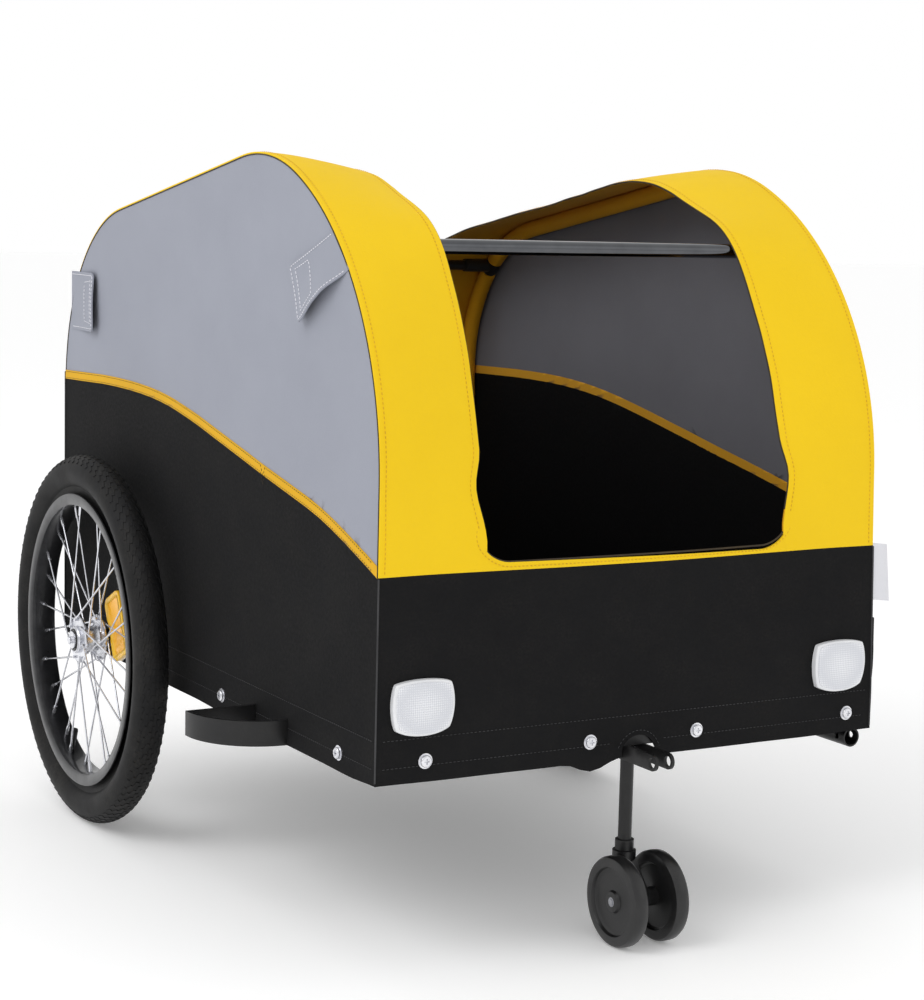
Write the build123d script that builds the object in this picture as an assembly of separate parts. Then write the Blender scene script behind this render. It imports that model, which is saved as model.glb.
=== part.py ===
"""Child bicycle trailer: steel base frame, two side hoops, sewn cover, two spoked wheels and a folding caster.

Millimetres.  Front is -Y, up is +Z, the ground is z = 0 and the origin is on the ground in the middle
of the overall length and width.  Pieces are drawn with y = 0 in the middle of the cargo body and are
moved to the row's origin when they are saved.  "right" is +X and "left" is -X.
"""
from build123d import *
import os
from math import atan2, cos, degrees, pi, radians, sin, sqrt, tan

# --- cover -------------------------------------------------------------------------------------
body_width = 554.0
body_length = 791.0
skirt_drop = 10.0              # the cloth's lower edge below the rails' underside
front_panel_height = 174.5     # above the rails' underside, as are the three heights below
rear_panel_height = 297.0
cloth = 2.0
seam_gap = 0.3                 # cloth to frame
front_corner_rise = 436.9      # where the front upright would meet the rising top line
rear_corner_rise = 457.0       # where the rear upright would meet the falling top line
front_rise = 26.0              # degrees
top_fall = 9.4                 # degrees
front_shoulder_radius = 296.0
crest_radius = 215.0
rear_shoulder_radius = 205.0
right_lean = 2.2               # degrees, the right side stands this much inward
band_width = 105.0
hem_height = 7.5
opening_corner_radius = 30.0
piping_width = 10.0
piping_proud = 0.8
piping_front_rise = 9.5        # top of the piping above the front panel
piping_rear_rise = 1.0         # and above the rear panel
piping_shape = ((0.119, 0.263), (0.309, 0.544), (0.5, 0.816), (0.627, 0.9605), (0.754, 1.0175))  # along, up
arch_radius = 20.0             # notch in the front skirt over the caster bracket

# --- tabs on the side panels, corners as (behind, above) from a shoulder corner of the outline ---
front_tab = ((100.0, 33.1), (66.5, 0.3), (157.9, -53.5), (189.5, 0.1))
rear_tab = ((-22.5, -110.0), (-22.5, -44.0), (-104.5, -44.0), (-104.5, -110.0))
tab_rounding = 4.0

# --- base frame --------------------------------------------------------------------------------
rail_drop = 14.5               # rails' underside below the middle of the wheels
rail_height = 26.0
rail_width = 20.0
rail_wall = 1.5
floor_board_thickness = 4.0
floor_board_margin = 25.0

# --- hoops and crossbars -----------------------------------------------------------------------
hoop_radius = 8.0
hoop_wall = 1.5
sleeve_wall = 1.4
slip = 0.1                     # cloth sleeve to tube
spigot_height = 40.0
spigot_wall = 2.0
fit = 0.05                     # running clearance on a radius
front_bar_setback = 100.5      # from the front panel
front_bar_radius = 7.0
rear_bar_setback = 75.5        # from the rear panel
rear_bar_radius = 6.0
bar_wall = 1.2
clip_wall = 1.4                # round the hoop
clip_length = 16.0
clip_socket_length = 30.0
clip_socket_wall = 1.8

# --- main wheels -------------------------------------------------------------------------------
axle_setback = 177.0           # from the rear panel
wheel_radius = 202.5
wheel_stand_off = 36.5         # side panel to the middle of the wheel
tyre_section = 19.0
tyre_wall = 3.2
rim_flange_radius = 160.0
rim_depth = 13.0
rim_half_width = 15.0
rim_wall = 2.5
bead_clearance = 0.2
spokes_per_flange = 14
spoke_radius = 1.0
spoke_hole_radius = 22.0
spoke_clearance = 0.6          # spoke to the face of its flange
spoke_cross = 2
hub_radius = 14.5
hub_half_length = 16.5
hub_end_radius = 15.0
flange_radius = 26.0
flange_thickness = 3.0
flange_offset = 11.0
bearing_radius = 12.0
bearing_width = 7.0
axle_radius = 6.0
axle_head_radius = 9.5
axle_head_thickness = 2.4
receiver_radius = 10.0
button_radius = 4.0
button_proud = 4.0
button_length = 20.0
button_travel = 3.0
spoke_reflector_width = 46.0
spoke_reflector_height = 72.0
spoke_reflector_thickness = 8.0
spoke_reflector_reach = 46.0
spoke_reflector_angle = 154.0

# --- caster ------------------------------------------------------------------------------------
leg_setback = 17.5             # behind the front panel
leg_radius = 6.5
caster_radius = 43.0
caster_width = 16.0
caster_half_track = 22.8
caster_trail = 25.0
caster_face_recess = 4.0
caster_tread_width = 11.0      # width of the rim ring seen from the side
upper_collar_radius = 9.0
lower_collar_radius = 11.25
upper_collar_height = 10.0
lower_collar_height = 8.0
swivel_height = 84.0           # joint face between the two collars
swivel_gap = 0.3
king_pin_radius = 4.0
king_pin_height = 26.0
fork_half_width = 8.0
fork_rounding = 9.5
caster_axle_radius = 3.0
caster_cap_radius = 4.5
caster_cap_thickness = 2.5
ear_thickness = 3.0
ear_clearance = 0.8            # leg to each ear
ear_height = 15.2
ear_reach = 44.5               # in front of the front panel
ear_front_hole = 5.0
ear_back = 16.0                # behind the leg
pivot_radius = 4.0
nut_radius = 7.2
nut_length = 12.0

# --- fittings ----------------------------------------------------------------------------------
guard_radius = 72.0
guard_thickness = 4.0
guard_height = 24.0
guard_drop = 12.0              # below the rails' underside
guard_stand_off = 162.0        # ahead of the tyre
socket_inset = 13.5            # from the side panel
socket_drop = 20.0             # below the rails' underside
socket_radius = 9.75
socket_wall = 1.5
socket_length = 170.0
socket_setback = 9.5           # from the front panel
socket_pin_radius = 3.2
saddle_width = 12.0
saddle_length = 22.0
screw_head_radius = 5.5
screw_head_height = 3.0
screw_radius = 2.5
screw_length = 18.0
washer_radius = 7.0
washer_thickness = 1.0
left_screw_inset = 49.5
right_screw_inset = 30.4
inner_screw_x = (-54.2, 65.5)
front_side_screw_setback = 70.0
middle_side_screw_y = -65.3
rear_side_screw_setback = 55.5
front_screw_rise = 8.5         # above the rails' underside
side_screw_rise = 5.0
reflector_width = 62.0
reflector_height = 46.0
reflector_depth = 8.0
reflector_rim = 2.5
reflector_corner = 7.0
reflector_inset = 44.5         # middle of the reflector from the side panel
reflector_rise = 33.0          # above the rails' top
sleeve_width = 24.0
sleeve_depth = 12.0
flag_sleeve_rise = 1.0         # above the rails' underside
flag_sleeve_length = 98.0
sleeve_setback = 8.0
flag_pole_radius = 5.0
tag_width = 24.0
tag_drop = 54.5                # foot of the tag below the front panel's top edge
tag_length = 56.0
tag_thickness = 1.2

# --- derived -----------------------------------------------------------------------------------
half_width = body_width / 2
half_length = body_length / 2
inner_x = half_width - cloth
rail_x = inner_x - seam_gap
rail_y = half_length - cloth - seam_gap
rail_bottom = wheel_radius - rail_drop
rail_top = rail_bottom + rail_height
front_panel_top = rail_bottom + front_panel_height
rear_panel_top = rail_bottom + rear_panel_height
front_corner_height = rail_bottom + front_corner_rise
rear_corner_height = rail_bottom + rear_corner_rise
clip_radius = hoop_radius + clip_wall
skirt_bottom = rail_bottom - skirt_drop
front_bar_y = -half_length + front_bar_setback
rear_bar_y = half_length - rear_bar_setback
front_screw_x = (-half_width + left_screw_inset, *inner_screw_x, half_width - right_screw_inset)
side_screw_y = (-half_length + front_side_screw_setback, middle_side_screw_y, half_length - rear_side_screw_setback)
front_screw_z = rail_bottom + front_screw_rise
side_screw_z = rail_bottom + side_screw_rise
reflector_x = half_width - reflector_inset
reflector_z = rail_top + reflector_rise
sleeve_radius = hoop_radius + slip + sleeve_wall
hoop_inset = cloth + seam_gap + sleeve_radius
hoop_x = half_width - hoop_inset
hoop_foot = rail_top + (inner_x - hoop_x + hoop_radius) * sin(radians(right_lean))
axle_y = half_length - axle_setback
axle_z = wheel_radius
wheel_plane = half_width + wheel_stand_off
guard_return_y = axle_y - wheel_radius - guard_stand_off
guard_bottom = rail_bottom - guard_drop
socket_x = half_width - socket_inset
socket_z = rail_bottom - socket_drop
socket_front_y = -half_length + socket_setback
leg_y = -half_length + leg_setback
ear_gap = 2 * (leg_radius + ear_clearance)
sleeve_bottom = rail_bottom + flag_sleeve_rise
sleeve_top = sleeve_bottom + flag_sleeve_length
tag_bottom = front_panel_top - tag_drop
tag_top = tag_bottom + tag_length
pivot_z = rail_bottom - ear_height / 2
caster_axle_y = leg_y - caster_trail
caster_axle_z = caster_radius
front_reach = caster_radius - caster_axle_y
rear_reach = axle_y + wheel_radius
origin_shift = (front_reach - rear_reach) / 2
hub_outer = wheel_plane + hub_half_length
hub_inner = wheel_plane - hub_half_length
very_large = 4 * body_length


def save(name, *shapes):
    """Move the shapes to the row's origin and write them as one node."""
    solids = [solid for shape in shapes for solid in shape.solids()]
    placed = [Pos(0, origin_shift, 0) * solid for solid in solids]
    export_step(placed[0] if len(placed) == 1 else Compound(placed), f"parts/{name}.step")


def to_left(shape):
    return mirror(shape, about=Plane.YZ)


def lean(shape):
    """Tip a right-hand piece inward about the foot of the side panel."""
    foot = Pos(inner_x, 0, rail_top)
    return foot * Rot(0, -right_lean, 0) * foot.inverse() * shape


def leaned_point(x, z):
    across = x - inner_x
    up = z - rail_top
    turn = radians(-right_lean)
    return inner_x + across * cos(turn) + up * sin(turn), rail_top - across * sin(turn) + up * cos(turn)


def rod_x(radius, start, end, y, z):
    return Pos((start + end) / 2, y, z) * Rot(0, 90, 0) * Cylinder(radius, abs(end - start))


def rod_y(radius, start, end, x, z):
    return Pos(x, (start + end) / 2, z) * Rot(90, 0, 0) * Cylinder(radius, abs(end - start))


def rod_z(radius, start, end, x, y):
    return Pos(x, y, (start + end) / 2) * Cylinder(radius, abs(end - start))


def block(x0, x1, y0, y1, z0, z1):
    return Pos((x0 + x1) / 2, (y0 + y1) / 2, (z0 + z1) / 2) * Box(abs(x1 - x0), abs(y1 - y0), abs(z1 - z0))


def plate_yz(face, x0, x1):
    """Extrude a face drawn as (y, z) from x0 to x1."""
    return extrude(Plane.YZ.offset(x0) * face, x1 - x0)


# --- side outline ------------------------------------------------------------------------------
def outline_points(inset, foot):
    """Corners of the side outline, moved inward by inset, as (y, z)."""
    rise = tan(radians(front_rise))
    fall = tan(radians(top_fall))
    front = -half_length + inset
    rear = half_length - inset
    rise_at_zero = front_corner_height + rise * half_length - inset / cos(radians(front_rise))
    fall_at_zero = rear_corner_height + fall * half_length - inset / cos(radians(top_fall))
    peak = (fall_at_zero - rise_at_zero) / (rise + fall)
    return [(front, foot), (front, rise_at_zero + rise * front), (peak, fall_at_zero - fall * peak),
            (rear, fall_at_zero - fall * rear), (rear, foot)]


def outline_radii(points, inset):
    """Corner radii of the outline, made smaller only where the run between two corners is too short."""
    turns = [90 - front_rise, front_rise + top_fall, 90 - top_fall]
    radii = [front_shoulder_radius - inset, crest_radius - inset, rear_shoulder_radius - inset]
    lengths = [radius * tan(radians(turn / 2)) for radius, turn in zip(radii, turns)]
    runs = [sqrt((b[0] - a[0]) ** 2 + (b[1] - a[1]) ** 2) for a, b in zip(points, points[1:])]
    share = min(1, 0.995 * runs[0] / lengths[0], 0.995 * runs[1] / (lengths[0] + lengths[1]),
                0.995 * runs[2] / (lengths[1] + lengths[2]), 0.995 * runs[3] / lengths[2])
    return [radius * share for radius in radii]


def side_outline(inset, foot):
    points = outline_points(inset, foot)
    return FilletPolyline(*points, radius=outline_radii(points, inset))


def side_face(inset, foot):
    outline = side_outline(inset, foot)
    return make_face([*outline.edges(), Line(outline @ 1, outline @ 0)])


def hoop_height(y):
    """Height of the hoop's centre line at y, and the slope angle of the hoop there in degrees."""
    path = side_outline(hoop_inset, hoop_foot)
    low = 0.0 if y < 0 else 0.5
    high = low + 0.5
    for _ in range(40):
        middle = (low + high) / 2
        if (path @ middle).X < y:
            low = middle
        else:
            high = middle
    tangent = path % low
    return (path @ low).Y, degrees(atan2(tangent.Y, tangent.X))


def piping_top():
    """Top edge of the piping, falling from the rear to the front corner, as (y, z)."""
    length = body_length - 2 * cloth
    front = (-half_length + cloth, front_panel_top + piping_front_rise)
    rear = (front[0] + length, rear_panel_top + piping_rear_rise)
    climb = rear[1] - front[1]
    middle = [(front[0] + along * length, front[1] + up * climb) for along, up in piping_shape]
    return Spline(front, *middle, rear)


def region_below(curve, depth):
    """Area below a curve down to the skirt's bottom, after lowering the curve by depth."""
    edge = Pos(0, -depth) * curve
    left_end = edge @ 0
    right_end = edge @ 1
    foot = skirt_bottom
    return make_face([edge, Line(right_end, (right_end.X, foot)), Line((right_end.X, foot), (left_end.X, foot)),
                      Line((left_end.X, foot), left_end)])


# --- sewn cover --------------------------------------------------------------------------------
def side_cuts():
    """Holes in a side panel for the axle receiver, the wheel guard's two tangs and the screws."""
    through = (rail_x - 1, half_width + 2)
    cuts = [rod_x(receiver_radius + seam_gap, *through, axle_y, axle_z)]
    for y in (guard_return_y - guard_radius, guard_return_y):
        cuts.append(block(*through, y - seam_gap, y + guard_thickness + seam_gap,
                          guard_bottom - seam_gap, guard_bottom + guard_height + seam_gap))
    for y in side_screw_y:
        cuts.append(rod_x(screw_radius + seam_gap, *through, y, side_screw_z))
    return cuts


def side_panels():
    """Lower panel, upper panel and the piping between them, for the upright right-hand side."""
    curve = piping_top()
    whole = side_face(cloth, skirt_bottom)
    under_piping = region_below(curve, 0) & whole
    lower_face = region_below(curve, piping_width) & whole
    upper = plate_yz(whole - under_piping, inner_x, half_width)
    lower = plate_yz(lower_face, inner_x, half_width)
    piping = plate_yz(under_piping - lower_face, inner_x, half_width + piping_proud)
    for cut in side_cuts():
        lower -= cut
    return lower, upper, piping


def opening_tools():
    """The opening above each end panel, as blocks that run through the cover: right edge leaning, left upright."""
    edge = half_width - band_width
    top = 1.5 * front_corner_height
    tools = []
    for y0, y1, sill in ((-very_large, 0, front_panel_top), (0, very_large, rear_panel_top)):
        bottom = sill + hem_height
        right_low = leaned_point(edge, bottom)
        right_high = leaned_point(edge, top)
        face = Polygon((-edge, bottom), right_low, right_high, (-edge, top), align=None)
        sill_corners = face.vertices().sort_by(Axis.Y)[:2]
        face = fillet(sill_corners, opening_corner_radius)
        tools.append(extrude(Plane.XZ.offset(-y1) * face, y1 - y0))
    return tools


def cover():
    """The two bands and the two hems that join them, cut from one curved sheet."""
    outer = side_face(0, skirt_bottom)
    inner = side_face(cloth, skirt_bottom - 1)
    sheet = plate_yz(outer - inner, -half_width, half_width)
    sheet -= block(-very_large, very_large, -very_large, 0, 0, front_panel_top)
    sheet -= block(-very_large, very_large, 0, very_large, 0, rear_panel_top)
    for tool in opening_tools():
        sheet -= tool
    edge = half_width - band_width
    side_block = block(edge, half_width, -very_large, very_large, -very_large, very_large)
    left_band = sheet & to_left(side_block)
    right_band = sheet & lean(side_block)
    beyond_right = lean(block(edge, very_large, -very_large, very_large, -very_large, very_large))
    beyond_left = to_left(block(edge, very_large, -very_large, very_large, -very_large, very_large))
    hems = sheet - beyond_right - beyond_left
    front_hem = hems & block(-very_large, very_large, -very_large, 0, -very_large, very_large)
    rear_hem = hems & block(-very_large, very_large, 0, very_large, -very_large, very_large)
    return left_band, right_band, front_hem, rear_hem


def end_panel(y0, y1, top, screw_xs):
    panel = block(-half_width, half_width + cloth, y0, y1, skirt_bottom, top)
    panel &= lean(block(-very_large, half_width, -very_large, very_large, -very_large, very_large))
    for x in screw_xs:
        panel -= rod_y(screw_radius + fit, y0 - 1, y1 + 1, x, front_screw_z)
    return panel


def floor_panel():
    """Cloth floor that lies on the rails, notched round the hoops' feet."""
    x = inner_x - seam_gap
    y = half_length - cloth - seam_gap
    panel = block(-x, x, -y, y, rail_top + seam_gap, rail_top + seam_gap + cloth)
    for sx in (-1, 1):
        for sy in (-1, 1):
            corner = Pos(sx * hoop_x, sy * (half_length - hoop_inset), rail_top)
            panel -= corner * Cylinder(sleeve_radius + seam_gap, 20)
            panel -= block(sx * hoop_x, sx * very_large, sy * (half_length - hoop_inset), sy * very_large, 0, 300)
    return panel


def floor_board():
    bottom = rail_top + 2 * seam_gap + cloth
    x = inner_x - floor_board_margin
    y = half_length - floor_board_margin
    sheet = Pos(0, 0, bottom) * extrude(RectangleRounded(2 * x, 2 * y, 15), floor_board_thickness)
    return sheet


def side_tabs():
    """The two sewn tabs that stand on the upright right-hand side panel."""
    base = half_width + seam_gap
    front = Polygon(*[(y - half_length, z + front_corner_height) for y, z in front_tab], align=None)
    rear = Polygon(*[(y + half_length, z + rear_corner_height) for y, z in rear_tab], align=None)
    return [plate_yz(fillet(face.vertices(), tab_rounding), base, base + cloth) for face in (front, rear)]


# --- base frame --------------------------------------------------------------------------------
def box_tube(x0, x1, y0, y1, along):
    """Rectangular tube between two corners, hollow along "x" or "y"."""
    grow = very_large
    outer = block(x0, x1, y0, y1, rail_bottom, rail_top)
    inner_z = (rail_bottom + rail_wall, rail_top - rail_wall)
    if along == "x":
        return outer - block(x0 - grow, x1 + grow, y0 + rail_wall, y1 - rail_wall, *inner_z)
    return outer - block(x0 + rail_wall, x1 - rail_wall, y0 - grow, y1 + grow, *inner_z)


def end_rail(sign):
    face = sign * rail_y
    back = sign * (rail_y - rail_width)
    rail = box_tube(-rail_x, rail_x, min(face, back), max(face, back), "x")
    for x in front_screw_x:
        rail -= rod_y(screw_radius + fit, face - sign * 2 * rail_wall, face + sign * 5, x, front_screw_z)
    return rail


def side_rail():
    """Right-hand rail between the front and rear rails, bored for the axle receiver."""
    y = rail_y - rail_width
    rail = box_tube(rail_x - rail_width, rail_x, -y, y, "y")
    rail -= rod_x(receiver_radius, rail_x - 2 * rail_width, rail_x + 5, axle_y, axle_z)
    for screw_y in side_screw_y:
        rail -= rod_x(screw_radius + fit, rail_x - 2 * rail_wall, rail_x + 5, screw_y, side_screw_z)
    return rail


def axle_cross_tube():
    x = rail_x - rail_width
    return box_tube(-x, x, axle_y - rail_width / 2, axle_y + rail_width / 2, "x")


def axle_receiver():
    outer_end = hub_inner - 2 * seam_gap
    inner_end = rail_x - rail_width
    tube = rod_x(receiver_radius, inner_end, outer_end, axle_y, axle_z)
    return tube - rod_x(axle_radius + fit, inner_end - 1, outer_end + 1, axle_y, axle_z)


def hoop_spigots():
    """Short pins that stand on the end rails and plug into the hoops."""
    radius = hoop_radius - hoop_wall - slip
    pins = []
    for sx in (-1, 1):
        for sy in (-1, 1):
            x = sx * hoop_x
            y = sy * (half_length - hoop_inset)
            pin = rod_z(radius, hoop_foot, hoop_foot + spigot_height, x, y)
            pin -= rod_z(radius - spigot_wall, hoop_foot - 1, hoop_foot + spigot_height + 1, x, y)
            pins.append(pin if sx < 0 else lean(pin))
    return pins


def wheel_guard():
    """Flat bar bent in a quarter circle ahead of the right-hand wheel, with a straight return."""
    centre = Pos(half_width, guard_return_y)
    ring = centre * (Circle(guard_radius) - Circle(guard_radius - guard_thickness))
    quadrant_x = guard_radius + half_width - rail_x
    ring &= Pos(rail_x + quadrant_x / 2, guard_return_y - guard_radius / 2) * Rectangle(quadrant_x, guard_radius)
    length = half_width + guard_radius - rail_x
    bar = Pos(rail_x + length / 2, guard_return_y + guard_thickness / 2) * Rectangle(length, guard_thickness)
    return Pos(0, 0, guard_bottom) * extrude(ring + bar, guard_height)


def drawbar_socket():
    """Open tube under the right-hand rail that the drawbar slides into, on two saddles."""
    back = socket_front_y + socket_length
    body = rod_y(socket_radius, socket_front_y, back, socket_x, socket_z)
    for y in (socket_front_y + 2 * saddle_length, back - saddle_length):
        body += block(socket_x - saddle_width / 2, socket_x + saddle_width / 2, y - saddle_length / 2,
                      y + saddle_length / 2, socket_z, rail_bottom)
    body -= rod_y(socket_radius - socket_wall, socket_front_y - 1, back + 1, socket_x, socket_z)
    pin_y = socket_front_y + saddle_length / 2
    return body - rod_x(socket_pin_radius, socket_x - 2 * socket_radius, socket_x + 2 * socket_radius, pin_y, socket_z)


# --- hoops and crossbars -----------------------------------------------------------------------
def along_hoop(radius, foot):
    path = Plane.YZ.offset(hoop_x) * side_outline(hoop_inset, foot)
    start = Plane(origin=path @ 0, z_dir=path % 0)
    return sweep(start * Circle(radius), path=path)


def side_hoop():
    return along_hoop(hoop_radius, hoop_foot) - along_hoop(hoop_radius - hoop_wall, hoop_foot)


def clip_ring(y, radius, length):
    z, slope = hoop_height(y)
    return Pos(hoop_x, y, z) * Rot(slope, 0, 0) * Rot(90, 0, 0) * Cylinder(radius, length)


def hoop_sleeve():
    """Cloth sleeve that holds the hoop against the side panel, cut away at the two bar clips."""
    foot = rail_top + 3 * seam_gap + cloth
    sleeve = along_hoop(sleeve_radius, foot) - along_hoop(hoop_radius + slip, foot)
    for y in (front_bar_y, rear_bar_y):
        sleeve -= clip_ring(y, sleeve_radius + 2, clip_length + 4)
    return sleeve


def crossbar(y, radius):
    """Tube between the two hoops, and the two plastic clips that hold it."""
    bend_sag = (clip_length / 2) ** 2 / (2 * (rear_shoulder_radius - hoop_inset))
    clip_bore = hoop_radius + fit + bend_sag
    z_left, _ = hoop_height(y)
    x_right, z_right = leaned_point(hoop_x, z_left)
    z = (z_left + z_right) / 2
    inner_left = -hoop_x + clip_radius
    inner_right = x_right - clip_radius
    bar = rod_x(radius, inner_left, inner_right, y, z)
    bar -= rod_x(radius - bar_wall, inner_left - 1, inner_right + 1, y, z)
    socket_radius_out = radius + clip_socket_wall
    left_clip = rod_x(socket_radius_out, -hoop_x, inner_left + clip_socket_length, y, z)
    left_clip += to_left(clip_ring(y, clip_radius, clip_length))
    left_clip -= to_left(clip_ring(y, clip_bore, 3 * clip_length))
    right_clip = rod_x(socket_radius_out, inner_right - clip_socket_length, x_right, y, z)
    right_clip += lean(clip_ring(y, clip_radius, clip_length))
    right_clip -= lean(clip_ring(y, clip_bore, 3 * clip_length))
    bore = rod_x(radius, inner_left, inner_right, y, z)
    return bar, left_clip - bore, right_clip - bore


# --- main wheel (right-hand) -------------------------------------------------------------------
wheel_axis = Axis((0, axle_y, axle_z), (1, 0, 0))


def turned(face):
    """Revolve a face drawn as (x from the wheel plane, radius) about the axle."""
    plane = Plane(origin=(wheel_plane, axle_y, axle_z), x_dir=(1, 0, 0), z_dir=(0, -1, 0))
    return revolve(plane * face, axis=wheel_axis)


def ring_section(half_breadth, r0, r1):
    return Pos(0, (r0 + r1) / 2) * Rectangle(2 * half_breadth, r1 - r0)


def tyre():
    centre = wheel_radius - tyre_section
    bead_out = rim_half_width - rim_wall - bead_clearance
    bead_foot = rim_flange_radius - rim_depth + rim_wall + seam_gap
    section = Pos(0, centre) * Circle(tyre_section) + ring_section(bead_out, bead_foot, centre)
    section -= Pos(0, centre) * Circle(tyre_section - tyre_wall)
    section -= ring_section(bead_out - tyre_wall, bead_foot - 1, centre)
    return turned(section)


def rim():
    inside = rim_flange_radius - rim_depth
    section = ring_section(rim_half_width, inside, rim_flange_radius)
    section -= ring_section(rim_half_width - rim_wall, inside + rim_wall, rim_flange_radius + 1)
    return turned(section)


def spoke(start, end):
    direction = end - start
    return Plane(origin=start, z_dir=direction) * extrude(Circle(spoke_radius), direction.length)


def wheel_point(offset, radius, angle):
    return Vector(wheel_plane + offset, axle_y + radius * cos(angle), axle_z + radius * sin(angle))


def spokes():
    """Crossed spokes: on each flange half lead and half trail, one on each face of the flange."""
    step = 2 * pi / spokes_per_flange
    rim_radius = rim_flange_radius - rim_depth - 0.2
    face_gap = flange_thickness / 2 + spoke_radius + spoke_clearance
    rods = []
    for side in (-1, 1):
        for index in range(spokes_per_flange):
            lead = 1 if index % 2 else -1
            angle = index * step + side * step / 4
            offset = side * (flange_offset + lead * face_gap)
            start = wheel_point(offset, spoke_hole_radius, angle)
            end = wheel_point(side * 3, rim_radius, angle + lead * spoke_cross * step)
            rods.append(spoke(start, end))
    return rods


def hub():
    shell = ring_section(hub_half_length, 0, hub_radius)
    for side in (-1, 1):
        shell += Pos(side * flange_offset, 0) * ring_section(flange_thickness / 2, 0, flange_radius)
        end_length = hub_half_length - flange_offset
        shell += Pos(side * (flange_offset + end_length / 2), 0) * ring_section(end_length / 2, 0, hub_end_radius)
        seat = hub_half_length - bearing_width / 2
        shell -= Pos(side * seat, 0) * ring_section(bearing_width / 2, 0, bearing_radius)
    shell -= ring_section(hub_half_length + 1, 0, axle_radius + 1)
    return turned(shell)


def hub_bearings():
    seat = hub_half_length - bearing_width / 2
    section = ring_section(bearing_width / 2, axle_radius + fit, bearing_radius)
    return [turned(Pos(side * seat, 0) * section) for side in (-1, 1)]


def spoke_reflector():
    """Lens clipped to the inner face of the spokes."""
    turn = spoke_reflector_angle
    outer = wheel_plane - flange_offset - flange_thickness / 2 - 2 * spoke_radius - spoke_clearance - seam_gap
    centre = wheel_point(0, spoke_reflector_reach, radians(turn))
    face = Pos(centre.Y, centre.Z) * Rot(0, 0, turn) * RectangleRounded(spoke_reflector_width,
                                                                        spoke_reflector_height, 10)
    face -= Pos(axle_y, axle_z) * Circle(flange_radius)
    return plate_yz(face, outer - spoke_reflector_thickness, outer)


def axle():
    """Quick-release axle: shank, head outside the hub and a bore for the button."""
    inner_end = rail_x - rail_width + 1
    head_start = hub_outer + seam_gap
    head_end = head_start + axle_head_thickness
    body = rod_x(axle_radius, inner_end, head_end, axle_y, axle_z)
    body += rod_x(axle_head_radius, head_start, head_end, axle_y, axle_z)
    bore_depth = button_length + button_travel
    return body - rod_x(button_radius + fit, head_end - bore_depth, head_end + 1, axle_y, axle_z)


def axle_button():
    head_end = hub_outer + seam_gap + axle_head_thickness
    tip = head_end + button_proud
    body = rod_x(button_radius, tip - button_length, tip, axle_y, axle_z)
    return chamfer(body.edges().group_by(Axis.X)[-1], 0.8)


# --- caster ------------------------------------------------------------------------------------
def rounded_bar_yz(start, end, radius, x0, x1):
    """Plate between two rounded ends, drawn from (y, z) to (y, z)."""
    length = sqrt((end[0] - start[0]) ** 2 + (end[1] - start[1]) ** 2)
    turn = degrees(atan2(end[1] - start[1], end[0] - start[0]))
    middle = ((start[0] + end[0]) / 2, (start[1] + end[1]) / 2)
    face = Pos(*middle) * Rot(0, 0, turn) * SlotCenterToCenter(length, 2 * radius)
    return plate_yz(face, x0, x1)


def caster_bracket():
    """Two ears welded under the front rail, joined behind the leg by the leg's back stop."""
    rounding = ear_height / 2
    front = -half_length - ear_reach + rounding
    back = leg_y + ear_back
    inside = ear_gap / 2
    body = None
    for side in (-1, 1):
        x0, x1 = sorted((side * inside, side * (inside + ear_thickness)))
        ear = rounded_bar_yz((front, pivot_z), (back, pivot_z), rounding, x0, x1)
        body = ear if body is None else body + ear
    stop_front = leg_y + leg_radius + seam_gap
    body += block(-inside, inside, stop_front, stop_front + ear_thickness, pivot_z - rounding, pivot_z + rounding)
    span = (-very_large, very_large)
    body -= rod_x(ear_front_hole, *span, front, pivot_z)
    return body - rod_x(pivot_radius, *span, leg_y, pivot_z)


def pivot_bolt():
    ear_face = ear_gap / 2 + ear_thickness
    shank = rod_x(pivot_radius, -ear_face - nut_length, ear_face, leg_y, pivot_z)
    head = plate_yz(Pos(leg_y, pivot_z) * RegularPolygon(nut_radius - 0.3, 6), ear_face, ear_face + 5)
    return shank + head


def clamp_nut():
    """Thumb nut on the left ear that clamps the folding leg."""
    ear_face = ear_gap / 2 + ear_thickness
    outer = -ear_face - nut_length - 1
    body = rod_x(nut_radius, outer, -ear_face - seam_gap, leg_y, pivot_z)
    for index in range(8):
        angle = 2 * pi * index / 8
        flute_y = leg_y + (nut_radius + 0.8) * cos(angle)
        flute_z = pivot_z + (nut_radius + 0.8) * sin(angle)
        body -= rod_x(1.6, outer - 1, -ear_face, flute_y, flute_z)
    return body - rod_x(pivot_radius + fit, -ear_face - nut_length - fit, -ear_face, leg_y, pivot_z)


def caster_leg():
    """Upright with a rounded eye at the top and the fixed collar at its foot."""
    body = rod_z(leg_radius, swivel_height, pivot_z, 0, leg_y)
    body += Pos(0, leg_y, pivot_z) * Sphere(leg_radius)
    body += rod_z(upper_collar_radius, swivel_height, swivel_height + upper_collar_height, 0, leg_y)
    body -= rod_z(king_pin_radius + fit, swivel_height - 1, swivel_height + king_pin_height + 1, 0, leg_y)
    return body - rod_x(pivot_radius + fit, -very_large, very_large, leg_y, pivot_z)


def caster_fork():
    """Turning collar, king pin and the arm that runs forward and down to the caster's axle."""
    top = swivel_height - swivel_gap
    collar_foot = top - lower_collar_height
    body = rod_z(lower_collar_radius, collar_foot, top, 0, leg_y)
    body += rod_z(king_pin_radius, top, swivel_height + king_pin_height, 0, leg_y)
    arm_top = (leg_y, collar_foot - fork_rounding + 4)
    body += rounded_bar_yz(arm_top, (caster_axle_y, caster_axle_z), fork_rounding, -fork_half_width, fork_half_width)
    return body - rod_x(caster_axle_radius, -very_large, very_large, caster_axle_y, caster_axle_z)


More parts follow.
